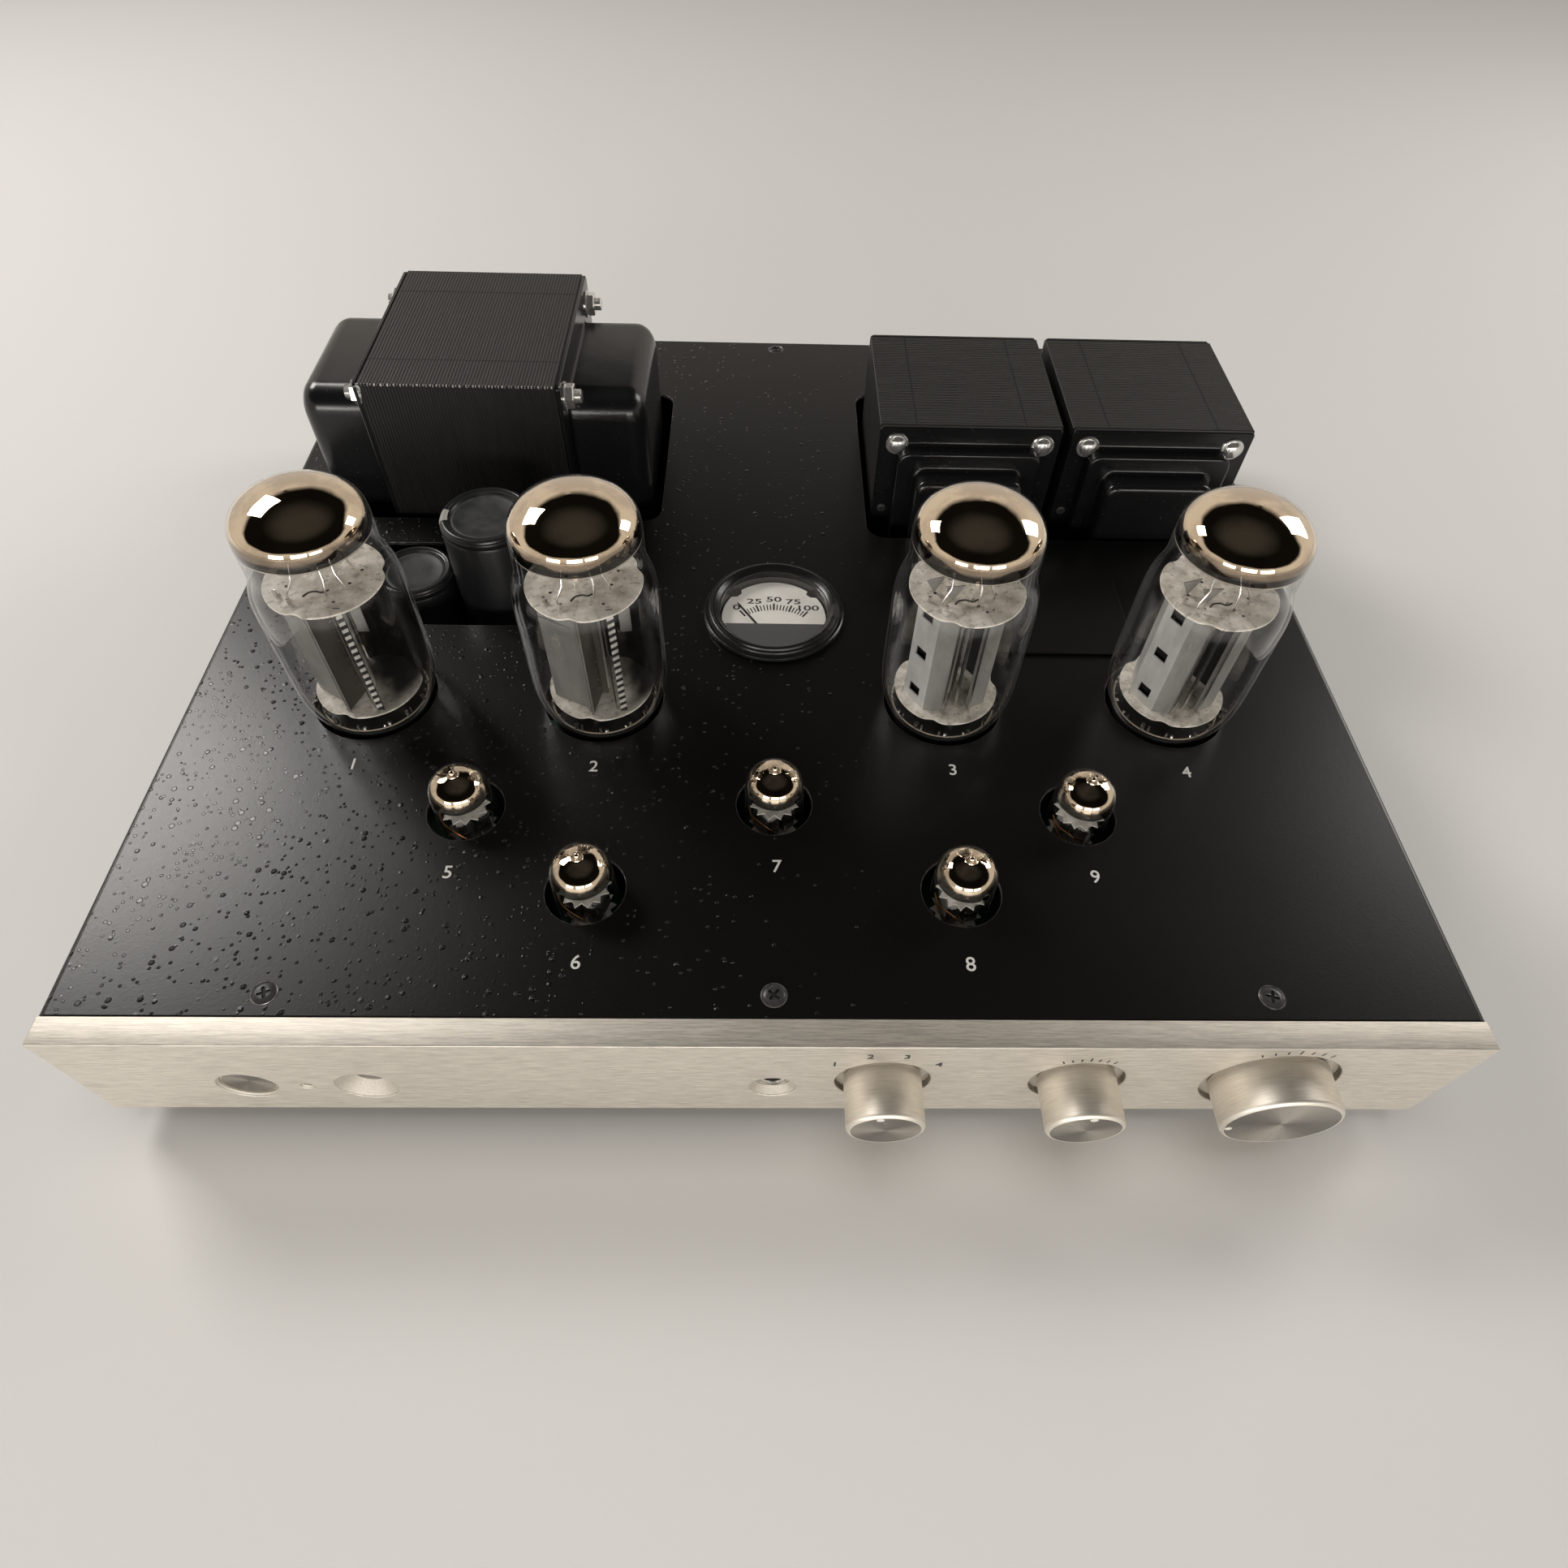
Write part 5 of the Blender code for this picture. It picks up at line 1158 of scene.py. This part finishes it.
    def finned(self, tube, place, turn):
        """Anode with a standing fin beside its gap, and a wound grid in front of it."""
        stock = Stock()
        half = [(-17.5, -5.0), (-5.7, -12.8), (-3.4, -17.0)]
        fin = [(-3.4, -17.0), (0.3, -5.5), (2.4, -6.4)]
        rest = [(-17.5, -5.0), (-16.0, 4.0), (-11.0, 9.5), (-4.0, 11.5)]
        other = mirrored(rest, Vector((0.30, -0.954)))
        # The fin takes the darker anode tone and the far half is near-black: painted shade on parts
        # of the one sheet
        for line, finish in ((half, self.GREY), (fin, self.DARK), (rest, self.GREY),
                             (other, self.SLOT)):
            stock.sheet(line, self.low, self.top, 0.5, finish)
        for z in (50.0, 53.5):
            stock.wire([(-17.5, -5.5, z), (-6.0, -13.1, z)], 0.12, self.BRIGHT, 6)
        for x, y in ((-14.6, -7.4), (-11.4, -9.5)):
            stock.block((x - 0.5, y - 0.75, 52.0), (x + 0.5, y - 0.15, 58.4), self.BRIGHT,
                        edge=0.12)
        stock.block((5.2, -15.5, 8.6), (5.8, -15.1, 60.0), self.BRIGHT, edge=0.12)
        # Near-black strip behind the white rungs: painted shade in the gap behind the grid
        stock.block((7.0, -15.9, 8.6), (9.4, -15.5, 60.0), self.SLOT, edge=0.1)
        for z in (10.0 + 3.2 * k for k in range(15)):
            rungs = ((7.0, z), (9.4, z + 1.3), (9.4, z + 2.8), (7.0, z + 1.5))
            stock.loft([[(x, y, level) for x, level in rungs] for y in (-15.92, -16.15)],
                       self.WHITE)
        for z in (14.0 + 4.6 * k for k in range(9)):
            stock.block((-0.45, -8.6, z), (-0.1, -7.9, z + 0.8), self.BRIGHT, edge=0.06)
        stock.block((11.0, -13.4, 47.0), (15.0, -13.0, 59.0), self.GREY, edge=0.1)
        stock.block((-13.5, -9.9, 57.0), (-12.3, -8.9, 60.6), self.BRIGHT, edge=0.1)
        self.cathode(stock, 1.0, -2.5)
        self.finish(stock, tube, place, turn)

    def cathode(self, stock, x, y):
        stock.turn([(2.2, self.low), (2.2, self.top)], self.WHITE, 24, spot(x, y))

    def finish(self, stock, tube, place, turn):
        self.discs(stock, radians(15))
        self.top_works(stock)
        self.under_works(stock)
        stock.rotate(turn)
        finishes = [coated("anode_grey", (0.25, 0.243, 0.23)),
                    coated("anode_dark", (0.12, 0.108, 0.092)), plain("nickel"), mica(),
                    ink("painted_shade_dark", (0.012, 0.011, 0.010)),
                    coated("cathode_white", (0.62, 0.60, 0.56)), stem_glass(),
                    ink("foot_painted_highlight", (0.55, 0.46, 0.35)),
                    coated("anode_side_painted_light", (0.58, 0.58, 0.565)),
                    coated("anode_front_painted_shade", (0.27, 0.266, 0.252))]
        stock.done(f"{tube}_cage", finishes, slot="electrodes", replaces=[f"{tube}_electrodes"],
                   place=place)


class AMPLIFIER_OT_small_tubes(bpy.types.Operator):
    """Blow the five small tubes, and fit their electrodes and films"""
    bl_idname = "amplifier.small_tubes"
    bl_label = "Small tubes"
    turns = (35, -20, 35, 10, -30)
    outline = ((10.4, -28.7), (10.5, -20), (10.5, -8), (10.5, 4.0), (10.5, 9.0), (10.35, 11.8),
               (9.75, 14.2), (8.5, 16.3), (6.3, 18.0), (3.6, 18.95), (2.0, 19.4), (1.5, 20.2),
               (1.25, 21.2), (0.7, 21.95), (0.0, 22.15))
    wall = 0.8
    MICA, ANODE, BRIGHT, COPPER, STEM = range(5)

    def execute(self, context):
        steps = context.scene.amplifier_sizes.round_steps
        outer = smooth_line(self.outline, 4)
        inner = [(max(r - self.wall, 0.0), z - (self.wall if r < 6 else 0.0))
                 for r, z in outer if z < 18.6] + [(0.0, 18.0)]
        for tube, turn in zip(SMALL_TUBES, self.turns):
            place = rigid(*middle(f"{tube}_glass")[:2])
            turned(f"{tube}_bulb", outer + inner[::-1], glass(), steps, "tube_glass",
                   [f"{tube}_glass"], place)
            film = [(max(r - 0.1, 0), z - 0.08) for r, z in outer if z > 9.0]
            turned(f"{tube}_getter", film, small_getter(), steps, "nickel", place=place)
            self.cage(tube, place, turn)
        return {"FINISHED"}

    def cage(self, tube, place, turn):
        stock = Stock()
        star = []
        for k in range(13):
            for share, radius in ((0.0, 9.35), (0.22, 8.1), (0.5, 7.2), (0.78, 8.1)):
                star.append(polar(radius, tau * (k + share) / 13))
        stock.prism(star, 2.4, 2.8, self.MICA, edge=0.06)
        stock.prism(star, -13.0, -12.5, self.MICA, edge=0.06)
        for x in (-3.4, 3.4):
            box = [(x - 2.6, -4.6), (x - 1.2, -5.2), (x + 1.2, -5.2), (x + 2.6, -4.6),
                   (x + 2.6, 4.6), (x + 1.2, 5.2), (x - 1.2, 5.2), (x - 2.6, 4.6)]
            stock.prism(box, -12.5, 2.4, self.ANODE, edge=0.15)
            band = [(px, py * 1.06) for px, py in box]
            for z in (-7, -2):
                stock.prism(band, z, z + 0.7, self.BRIGHT, edge=0.1)
            stock.wire([(x, 0, 2.6), (x, 0, 6.5), (x * 0.6, 1, 12)], 0.35, self.BRIGHT)
        stock.wire([(5.5, -6.0, 2.6), (7.2, -5.0, -1.0), (7.8, -3.2, -5), (7.0, -2.0, -12)],
                   0.35, self.BRIGHT)
        stock.turn([(0, 2.95), (1.6, 2.95), (1.7, 2.7)], self.BRIGHT, 20, spot(3.4))
        stock.wire(hoop(4.2, 4.2, 12.2, 20), 0.45, self.BRIGHT)
        stem = [(0, -26.4), (8.6, -26.4), (9.0, -27.2), (9.0, -28.6), (0, -28.6)]
        stock.turn(stem, self.STEM, 40)
        for a in (tau * (i + 0.5) / 10 for i in range(9)):
            x, y = 5.9 * sin(a), -5.9 * cos(a)
            stock.wire([(x, y, -35.5), (x, y, -26.5), (x * 0.9, y * 0.9, -9)], 0.45, self.BRIGHT)
        stock.rotate(turn)
        straps = (([(-9.3, -0.6, 0.2), (-8.0, -4.6, -1.2), (-4.6, -8.0, -1.4), (-1.6, -9.1, -3.6),
                    (0.6, -9.2, -6.0)], 0.3),
                  ([(-9.1, -1.6, -1.6), (-7.4, -5.6, -4.6), (-4.2, -8.2, -7.0)], 0.26))
        for line, radius in straps:
            stock.wire(smooth_line(line), radius, self.COPPER)
        finishes = [plain("small_mica"), coated("anode_small", (0.34, 0.335, 0.32)),
                    plain("nickel"), plain("copper_strap"), stem_glass()]
        stock.done(f"{tube}_cage", finishes, slot="electrodes", replaces=[f"{tube}_electrodes"],
                   place=place)


class AMPLIFIER_OT_meter(bpy.types.Operator):
    """Build the round meter: case, dial with its scale, needle and window"""
    bl_idname = "amplifier.meter"
    bl_label = "Meter"
    pivot = -16.5
    bezel = ((0, -19.9), (24.9, -19.9), (25.4, -19.4), (25.4, 0.3), (29.6, 0.3), (30.0, 0.7),
             (30.0, 1.5), (29.8, 2.1), (29.3, 2.45), (28.3, 2.5), (28.1, 2.75), (28.05, 3.2),
             (27.8, 3.55), (27.3, 3.65), (27.0, 3.8), (26.9, 4.2), (26.6, 4.65), (26.0, 4.85),
             (25.3, 4.75), (24.7, 4.2), (23.6, 3.1), (23.3, 3.0), (23.2, 2.3), (22.9, 2.1),
             (22.9, -3.3), (0, -3.3))
    bore = 22.85
    # Radius, start, end and steps of the arcs that bound the dial
    face = ((22.2, 48, 130, 40), (20.4, 134, 141, 6), (22.4, 146, 212, 30), (22.4, 328, 394, 30),
            (20.4, 399, 406, 6))

    def execute(self, context):
        steps = context.scene.amplifier_sizes.round_steps
        centre = middle("meter_window")
        place = rigid(*centre[:2])
        case = Stock()
        case.turn(self.bezel, 0, steps)
        side = degrees(asin(-7.0 / self.bore))
        case.prism(arc((0, 0), self.bore, 180 - side, 360 + side, 40), -0.5, 0.5, 1, edge=0.2)
        case.done("meter_shell", [moulded("meter_black", 0.2, 0.008),
                                  moulded("movement_cover", 0.3, 0.11)],
                  slot="meter_body", replaces=["meter_case"], place=place)

        dial = Stock()
        face = [point for part in self.face for point in arc((0, 0), *part)]
        dial.prism(face, -3.0, -2.5, 0, edge=0.1)
        for k in range(21):
            high, width = (25.0, 0.8) if k % 5 == 0 else (24.3, 0.5)
            where = spot(y=self.pivot, turn=36 - 72 * k / 20)
            dial.block((-width / 2, 20.9, -2.5), (width / 2, high, -2.46), 1, where)
        for k, mark in enumerate(("0", "25", "50", "75", "100")):
            x, y = polar(27.5, radians(90 + 36 - 18 * k))
            where = spot(x - (1.6 if k == 4 else 0.0), self.pivot + y, -2.47)
            dial.words(mark, 4.3, 1, where @ Matrix.Diagonal((1.6, 1, 1, 1)), weight=0.05)
        dial.done("meter_face", [plain("dial_paper"), ink("dial_ink", (0.035, 0.033, 0.03))],
                  slot="dial", replaces=["meter_dial"], place=place)

        needle = Stock()
        needle.turn([(0, -0.2), (1.3, -0.2), (2.0, -0.6), (2.2, -1.1), (2.2, -2.2), (0, -2.2)],
                    0, 32)
        section = ((-1, -1.75), (1, -1.75), (1, -1.4), (-1, -1.4))
        blade = ((0.55, -4.2), (0.5, 2.0), (0.42, 14.0), (0.34, 27.0), (0.12, 29.0))
        needle.loft([[(s * half, y, z) for s, z in section] for half, y in blade])
        needle.done("meter_pointer", [ink("needle_black", (0.02, 0.02, 0.02))], "needle",
                    "needle", ["meter_needle"],
                    rigid(centre.x, centre.y + self.pivot, 0, spot(turn=33)))

        turned("meter_glass", [(0, 2.9), (22.6, 2.9), (22.8, 2.8), (22.8, 2.2), (0, 2.2)],
               glass(), steps, "meter_glass", ["meter_window"], place)
        return {"FINISHED"}


class AMPLIFIER_OT_transformers(bpy.types.Operator):
    """Stack the three cores, and fit their bells, bolts and nuts"""
    bl_idname = "amplifier.transformers"
    bl_label = "Transformers"
    sheet = 1.5
    fillet = 1.4
    ease = 0.35

    def execute(self, context):
        self.mains("power_transformer", 19.5, 82.0 / 2)
        for side in ("left", "right"):
            self.output(f"output_transformer_{side}", 16.2, 74.5 / 2)
        return {"FINISHED"}

    def bell(self, unit, steps, rounding, corner, where, name, node):
        """Drawn cover: a flange, then steps of (inset, depth), with eased rims."""
        width, height, sheet = 5 * unit, 6 * unit, self.sheet
        rings = [(0, 2.0, 0), (0, 2.0, sheet - 0.4), (0.8, 1.8, sheet)]
        base = sheet
        for gap, depth in steps:
            rim = rounding if (gap, depth) == steps[-1] else 1.5
            for a in (radians(90 - 18 * k) for k in range(6)):
                flare = 2 * self.fillet * (1 - cos(a))
                rings.append((2 * gap - flare, corner, base + self.fillet * (1 - sin(a))))
            for a in (radians(90 * k / 8) for k in range(9)):
                back = rim * (1 - cos(a))
                rings.append((2 * gap + 2 * back, corner - back * 0.55,
                              depth + sheet - rim * (1 - sin(a))))
            base = depth + sheet
        stock = Stock()
        stock.loft([raised(rounded(width - less, height - less, radius), level)
                    for less, radius, level in rings], 0, where)
        stock.done(name, [bell_black()], slot="bell", replaces=[node])

    def mains(self, name, unit, half):
        low, high = extent(f"{name}_core")
        centre = (low + high) / 2
        front, back, top = low.y, high.y, high.z
        left, right = centre.x - half, centre.x + half
        core = Stock()
        core.block((left, front, low.z), (right, back, top), 0, edge=self.ease)
        for y in (front + unit, back - unit):
            core.block((left + 0.4, y - 0.3, top - 0.3), (right - 0.4, y + 0.3, top + 0.02), 1)
        # Bright ticks on the front top edge of the sheets, bare steel partly from wear and partly a
        # painted highlight where the edges catch the light, and a chipped corner
        for k in range(60):
            x, tall = left + 0.7 + 1.35 * k, 0.35 + 0.3 * sin(4.7 * k) ** 2
            core.block((x, front - 0.06, top - tall - 0.25),
                       (x + 0.5 + 0.25 * sin(2.9 * k), front + 0.5, top + 0.05), 2)
        chip = ((-0.05, -9.0), (0.5, -8.2), (1.6, -2.4), (1.3, 0.04), (-0.05, 0.04))
        core.loft([[(left + x, y, top + z) for x, z in chip]
                   for y in (front - 0.06, front + 0.4)], 2)
        core.done("mains_core", [laminated("X"), moulded("joint_line", 0.6, 0.003),
                                 plain("bare_steel_and_edge_highlight")], slot="core", replaces=[f"{name}_core"])
        bolts = Stock()
        for side, hand in ((-1, "left"), (1, "right")):
            where = spot(centre.x + side * (half + 0.3), centre.y, centre.z, 90 * side) @ FORWARD
            self.bell(unit, ((12.5, 33.0),), 9.0, 11.0, where, f"mains_bell_{hand}",
                      f"{name}_bell_{hand}")
            # Only the upper nuts clear the deck
            for dy in (-2.5 * unit + 9.4, 2.5 * unit - 9.4):
                where = spot(centre.x + side * (half + 1.8), centre.y + dy,
                             centre.z + 3 * unit - 9.4, 90 * side, "Y")
                hex_nut(bolts, where @ Matrix.Rotation(0.35, 4, "Z"), 5.2)
        bolts.done("mains_nuts", [plain("zinc")], slot="nickel")

    def output(self, name, unit, half):
        low, high = extent(f"{name}_core")
        centre = (low + high) / 2
        front, back, top = centre.y - half, centre.y + half, high.z
        core = Stock()
        core.block((low.x, front, low.z), (high.x, back, top), 0, edge=self.ease)
        for x in (low.x + unit, high.x - unit):
            core.block((x - 0.35, front + 0.4, top - 0.3), (x + 0.35, back - 0.4, top + 0.02), 1)
        core.done(f"{name}_stack", [laminated("Y"), moulded("joint_line", 0.6, 0.003)],
                  slot="core", replaces=[f"{name}_core"])
        bolts = Stock()
        for side, hand, outward in ((-1, "front", FORWARD), (1, "rear", BACKWARD)):
            where = spot(centre.x, centre.y + side * (half + 0.3), centre.z) @ outward
            self.bell(unit, ((8.5, 7.0), (16.5, 17.5)), 2.6, 5.5, where,
                      f"{name}_cover_{hand}", f"{name}_bell_{hand}")
            for dx in (-2.5 * unit + 8, 2.5 * unit - 8):
                level = centre.y + side * (half + 1.8)
                face = spot(centre.x + dx, level, top - 8) @ outward
                if side > 0:
                    hex_nut(bolts, face, 4.4)
                else:
                    dome_bolt(bolts, face, 3.9)
                    low_screw = spot(centre.x + dx * 1.11, level, 1.6) @ outward
                    cross_head(bolts, low_screw, 2.2, 1, 2, 1.1)
        bolts.done(f"{name}_bolts", [plain("zinc"), screw_grey(), screw_slot()], slot="nickel")


class AMPLIFIER_OT_capacitors(bpy.types.Operator):
    """Sleeve the two capacitors"""
    bl_idname = "amplifier.capacitors"
    bl_label = "Capacitors"

    def execute(self, context):
        for kind, radius in (("tall", 19.0), ("short", 16.5)):
            low, high = extent(f"capacitor_{kind}")
            centre, top, bottom = (low + high) / 2, high.z, low.z
            can = Stock()
            disc = radius * 0.76
            lip, shoulder = (radius - 1.9, top - 1.3), (radius - 1.2, top - 2.4)
            can.turn([(disc, top - 1.5), (disc + 0.5, top - 0.7)] + arc(lip, 1.25, 140, 30, 10)
                     + arc(shoulder, 1.2, 60, 0, 6)
                     + [(radius, top - 3.6), (radius - 0.35, top - 4.4), (radius, top - 5.4),
                        (radius, bottom + 1.0), (radius - 1.0, bottom), (0, bottom)], 0, 96)
            can.turn([(0, top - 1.7), (disc * 0.55, top - 1.72), (disc * 0.86, top - 1.62),
                      (disc * 0.9, top - 1.35), (disc * 0.95, top - 1.35),
                      (disc + 0.05, top - 1.5)], 1, 96)
            if kind == "tall":
                stripe = ([(disc + 0.9, top - 0.28)] + arc(lip, 1.29, 120, 30, 8)
                          + arc(shoulder, 1.24, 60, 0, 6) + [(radius + 0.02, top - 3.5)])
                can.turn(stripe, 2, 14, None, 172, 24)
            finishes = [plain("sleeve"), plain("can_top"),
                        ink("sleeve_stripe", (0.40, 0.39, 0.36))]
            can.done(f"can_{kind}", finishes, slot="sleeve", replaces=[f"capacitor_{kind}"],
                     place=rigid(centre.x, centre.y))
        return {"FINISHED"}


class AMPLIFIER_OT_case(bpy.types.Operator):
    """Finish the tray, the feet and the pieces inside"""
    bl_idname = "amplifier.case"
    bl_label = "Case and inside"
    # Radius and height above the floor
    foot = ((0, 6), (5.6, 6), (6.0, 5.6), (6.0, 0.8), (6.6, 0.1), (15.6, 0), (17.0, 0.7),
            (17.6, 1.8), (18.9, 11.0), (18.6, 12), (0, 12))
    screw = ((0, 7.4), (2.2, 7.3), (3.4, 6.6), (3.6, 6.0))

    def execute(self, context):
        solids = {"chassis_tray": satin_black(), "circuit_board": plain("board_green"),
                  "selector_switch": plain("nickel"), "balance_pot": plain("nickel"),
                  "volume_pot": plain("nickel"), "power_switch": moulded("moulded_black")}
        for name, finish in solids.items():
            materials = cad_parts[name].data.materials
            materials.clear()
            materials.append(finish)
        for row in ("front", "rear"):
            for hand in ("left", "right"):
                node = f"foot_{row}_{hand}"
                low, high = extent(node)
                foot = Stock()
                foot.turn([(r, low.z + z) for r, z in self.foot], 0, 64)
                foot.turn([(r, low.z + z) for r, z in self.screw], 1, 32)
                foot.done(f"{row}_{hand}_foot", [plain("rubber"), plain("nickel")],
                          slot="rubber", replaces=[node],
                          place=rigid((low.x + high.x) / 2, (low.y + high.y) / 2))
        return {"FINISHED"}


class AMPLIFIER_OT_rear(bpy.types.Operator):
    """Fit the sockets and terminals at the rear"""
    bl_idname = "amplifier.rear"
    bl_label = "Rear sockets"
    jack_pitch = (22, 9)
    strip_pitch = 14.5
    inlet_floor = -13.0

    def execute(self, context):
        self.jacks()
        self.strip()
        self.inlet()
        return {"FINISHED"}

    def jacks(self):
        stock = Stock()
        where = self.at("line_jacks")
        stock.prism(rounded(94, 42, 2.5, 6), 0, 2.0, 0, where, 0.4)
        barrel = [(4.2, 2.0), (4.2, 10.8), (3.9, 11.4), (3.4, 11.5), (3.1, 11.2), (3.1, 10.2)]
        for column in range(4):
            for row in (-1, 1):
                x, y = self.jack_pitch
                at = where @ spot((column - 1.5) * x, row * y)
                ring = [(6.4, 2.0), (6.4, 3.2), (6.1, 3.5), (4.5, 3.5)]
                stock.turn(ring, 2 if row > 0 else 3, 40, at)
                stock.turn(barrel, 1, 40, at)
                stock.turn([(3.15, 10.3), (1.6, 10.2)], 4, 32, at)
                stock.turn([(1.75, 10.0), (1.75, 10.6), (1.3, 10.6), (1.3, 3.0), (0, 3.0)], 1, 24,
                           at)
        for x in (-33.0, 0.0, 33.0):
            cross_head(stock, where @ spot(x, 0, 2.0), 2.6, 5, 0, 1.2)
        finishes = [moulded("jack_plate", 0.4, 0.014), plain("nickel"),
                    coloured("ring_red", (0.36, 0.015, 0.012)),
                    coloured("ring_white", (0.62, 0.61, 0.58)),
                    coloured("jack_core", (0.55, 0.54, 0.50)), screw_black()]
        stock.done("line_sockets", finishes, slot="nickel", replaces=["line_jacks"])

    def strip(self):
        stock = Stock()
        where = self.at("speaker_terminals")
        stock.block((-44.5, -11, 0), (44.5, 11, 6), 0, where, 0.4)
        for i in range(7):
            x = (i - 3) * self.strip_pitch
            stock.block((x - 1, -10, 5.5), (x + 1, 10, 11.4), 0, where, 0.35)
        for i in range(6):
            at = where @ spot((i - 2.5) * self.strip_pitch)
            stock.block((-5.5, -8, 5.9), (5.5, 8, 6.5), 1, at, 0.2)
            turned = at @ spot(z=6.5) @ Matrix.Rotation(0.4 * i, 4, "Z")
            cross_head(stock, turned, 4.1, 1, 2, 2.4)
        finishes = [moulded("strip_black", 0.42, 0.012), plain("nickel"), screw_slot()]
        stock.done("loudspeaker_strip", finishes, slot="black_plastic",
                   replaces=["speaker_terminals"])

    def inlet(self):
        stock = Stock()
        where = self.at("mains_inlet")
        rim, mouth = rounded(50, 30, 3), rounded(24.5, 17, 3)
        levels = [(inset(rim, 0.4), 0.0), (rim, 0.3), (rim, 2.5), (inset(rim, 0.5), 3.0),
                  (inset(mouth, -0.6), 3.0), (mouth, 2.4), (mouth, self.inlet_floor)]
        stock.loft([raised(*ring) for ring in levels], 0, where, caps=False)
        stock.prism(mouth, -13.2, -12.9, 0, where)
        stock.prism(rounded(30, 23, 1, 4), -24, -12.9, 0, where, 0.3)
        for x, y in ((-7, -2), (0, 2), (7, -2)):
            stock.block((x - 1, y - 2, self.inlet_floor), (x + 1, y + 2, 0.8), 1, where, 0.3)
        for x in (-20, 20):
            cross_head(stock, where @ spot(x, 0, 2.95), 2.6, 2, 0, 1.2)
        finishes = [moulded("inlet_black", 0.4, 0.011), plain("nickel"), screw_black()]
        stock.done("mains_socket", finishes, slot="black_plastic", replaces=["mains_inlet"])

    def at(self, node):
        """On the rear wall behind the node's middle, with local Z to the back."""
        return spot(middle(node).x, CASE_DEPTH + 0.3, REAR_LINE) @ BACKWARD


class AMPLIFIER_OT_legend(bpy.types.Operator):
    """Print plain numbers by the tubes and marks by the knobs"""
    bl_idname = "amplifier.legend"
    bl_label = "Numbers and marks"
    # Places of the numbers on the deck (x, y) and on the front plate (x, z)
    on_deck = ((-156.8, 100.0), (-67.6, 100.0), (67.6, 100.0), (156.8, 100.0), (-112.5, 53.0),
               (-64.5, 19.0), (0.9, 56.4), (64.5, 19.0), (112.5, 53.0))
    on_front = ((19.6, -13.6), (30.6, -7.4), (42.2, -7.4), (53.2, -13.6))
    tick = 0.28

    def execute(self, context):
        scene = context.scene
        deck = Stock()
        for k, (x, y) in enumerate(self.on_deck, 1):
            deck.words(str(k), scene.amplifier_sizes.deck_number / MM, 0, spot(x, y, 0.02))
        deck.done("deck_numbers", [ink("deck_print", tuple(scene.amplifier_looks.print))],
                  slot="black_steel")
        front = Stock()
        for k, (x, z) in enumerate(self.on_front, 1):
            front.words(str(k), 4.6, 0, spot(x, FRONT_FACE - 0.02, z) @ FORWARD, weight=0.09)
        for x, reach in ((101.4, 17.6), (166.4, 24.1)):
            for k in range(-3, 4):
                where = spot(x, FRONT_FACE, KNOB_LINE) @ FORWARD @ spot(turn=-9 * k)
                end = reach + (1.9 if k else 2.6)
                front.block((-self.tick, reach, 0), (self.tick, end, INK_FILM), 0, where)
        front.done("front_numbers", [ink("front_print", (0.03, 0.03, 0.03))], slot="faceplate")
        return {"FINISHED"}


class AMPLIFIER_PT_panel(bpy.types.Panel):
    """The amplifier's pieces, in the order in which they are made"""
    bl_idname = "AMPLIFIER_PT_panel"
    bl_label = "Amplifier"
    bl_space_type = "VIEW_3D"
    bl_region_type = "UI"
    bl_category = "Amplifier"

    def draw(self, context):
        for operator in OPERATORS:
            self.layout.operator(operator.bl_idname)
        for name in GROUPS:
            group = getattr(context.scene, name)
            for key in group.__annotations__:
                self.layout.prop(group, key)


OPERATORS = (AMPLIFIER_OT_stage, AMPLIFIER_OT_case, AMPLIFIER_OT_deck, AMPLIFIER_OT_front,
             AMPLIFIER_OT_knobs, AMPLIFIER_OT_power_tubes, AMPLIFIER_OT_small_tubes,
             AMPLIFIER_OT_meter, AMPLIFIER_OT_transformers, AMPLIFIER_OT_capacitors,
             AMPLIFIER_OT_rear, AMPLIFIER_OT_legend)
GROUPS = {"amplifier_looks": AMPLIFIER_PG_looks, "amplifier_sizes": AMPLIFIER_PG_sizes,
          "amplifier_stage": AMPLIFIER_PG_stage}


def register():
    for group in GROUPS.values():
        bpy.utils.register_class(group)
    for name, group in GROUPS.items():
        setattr(bpy.types.Scene, name, PointerProperty(type=group))
    for made in (*OPERATORS, AMPLIFIER_PT_panel):
        bpy.utils.register_class(made)


def unregister():
    for made in (AMPLIFIER_PT_panel, *OPERATORS[::-1]):
        bpy.utils.unregister_class(made)
    for name, group in GROUPS.items():
        delattr(bpy.types.Scene, name)
        bpy.utils.unregister_class(group)


def main():
    register()
    for operator in OPERATORS:
        family, name = operator.bl_idname.split(".")
        getattr(getattr(bpy.ops, family), name)()


if __name__ == "__main__":
    main()
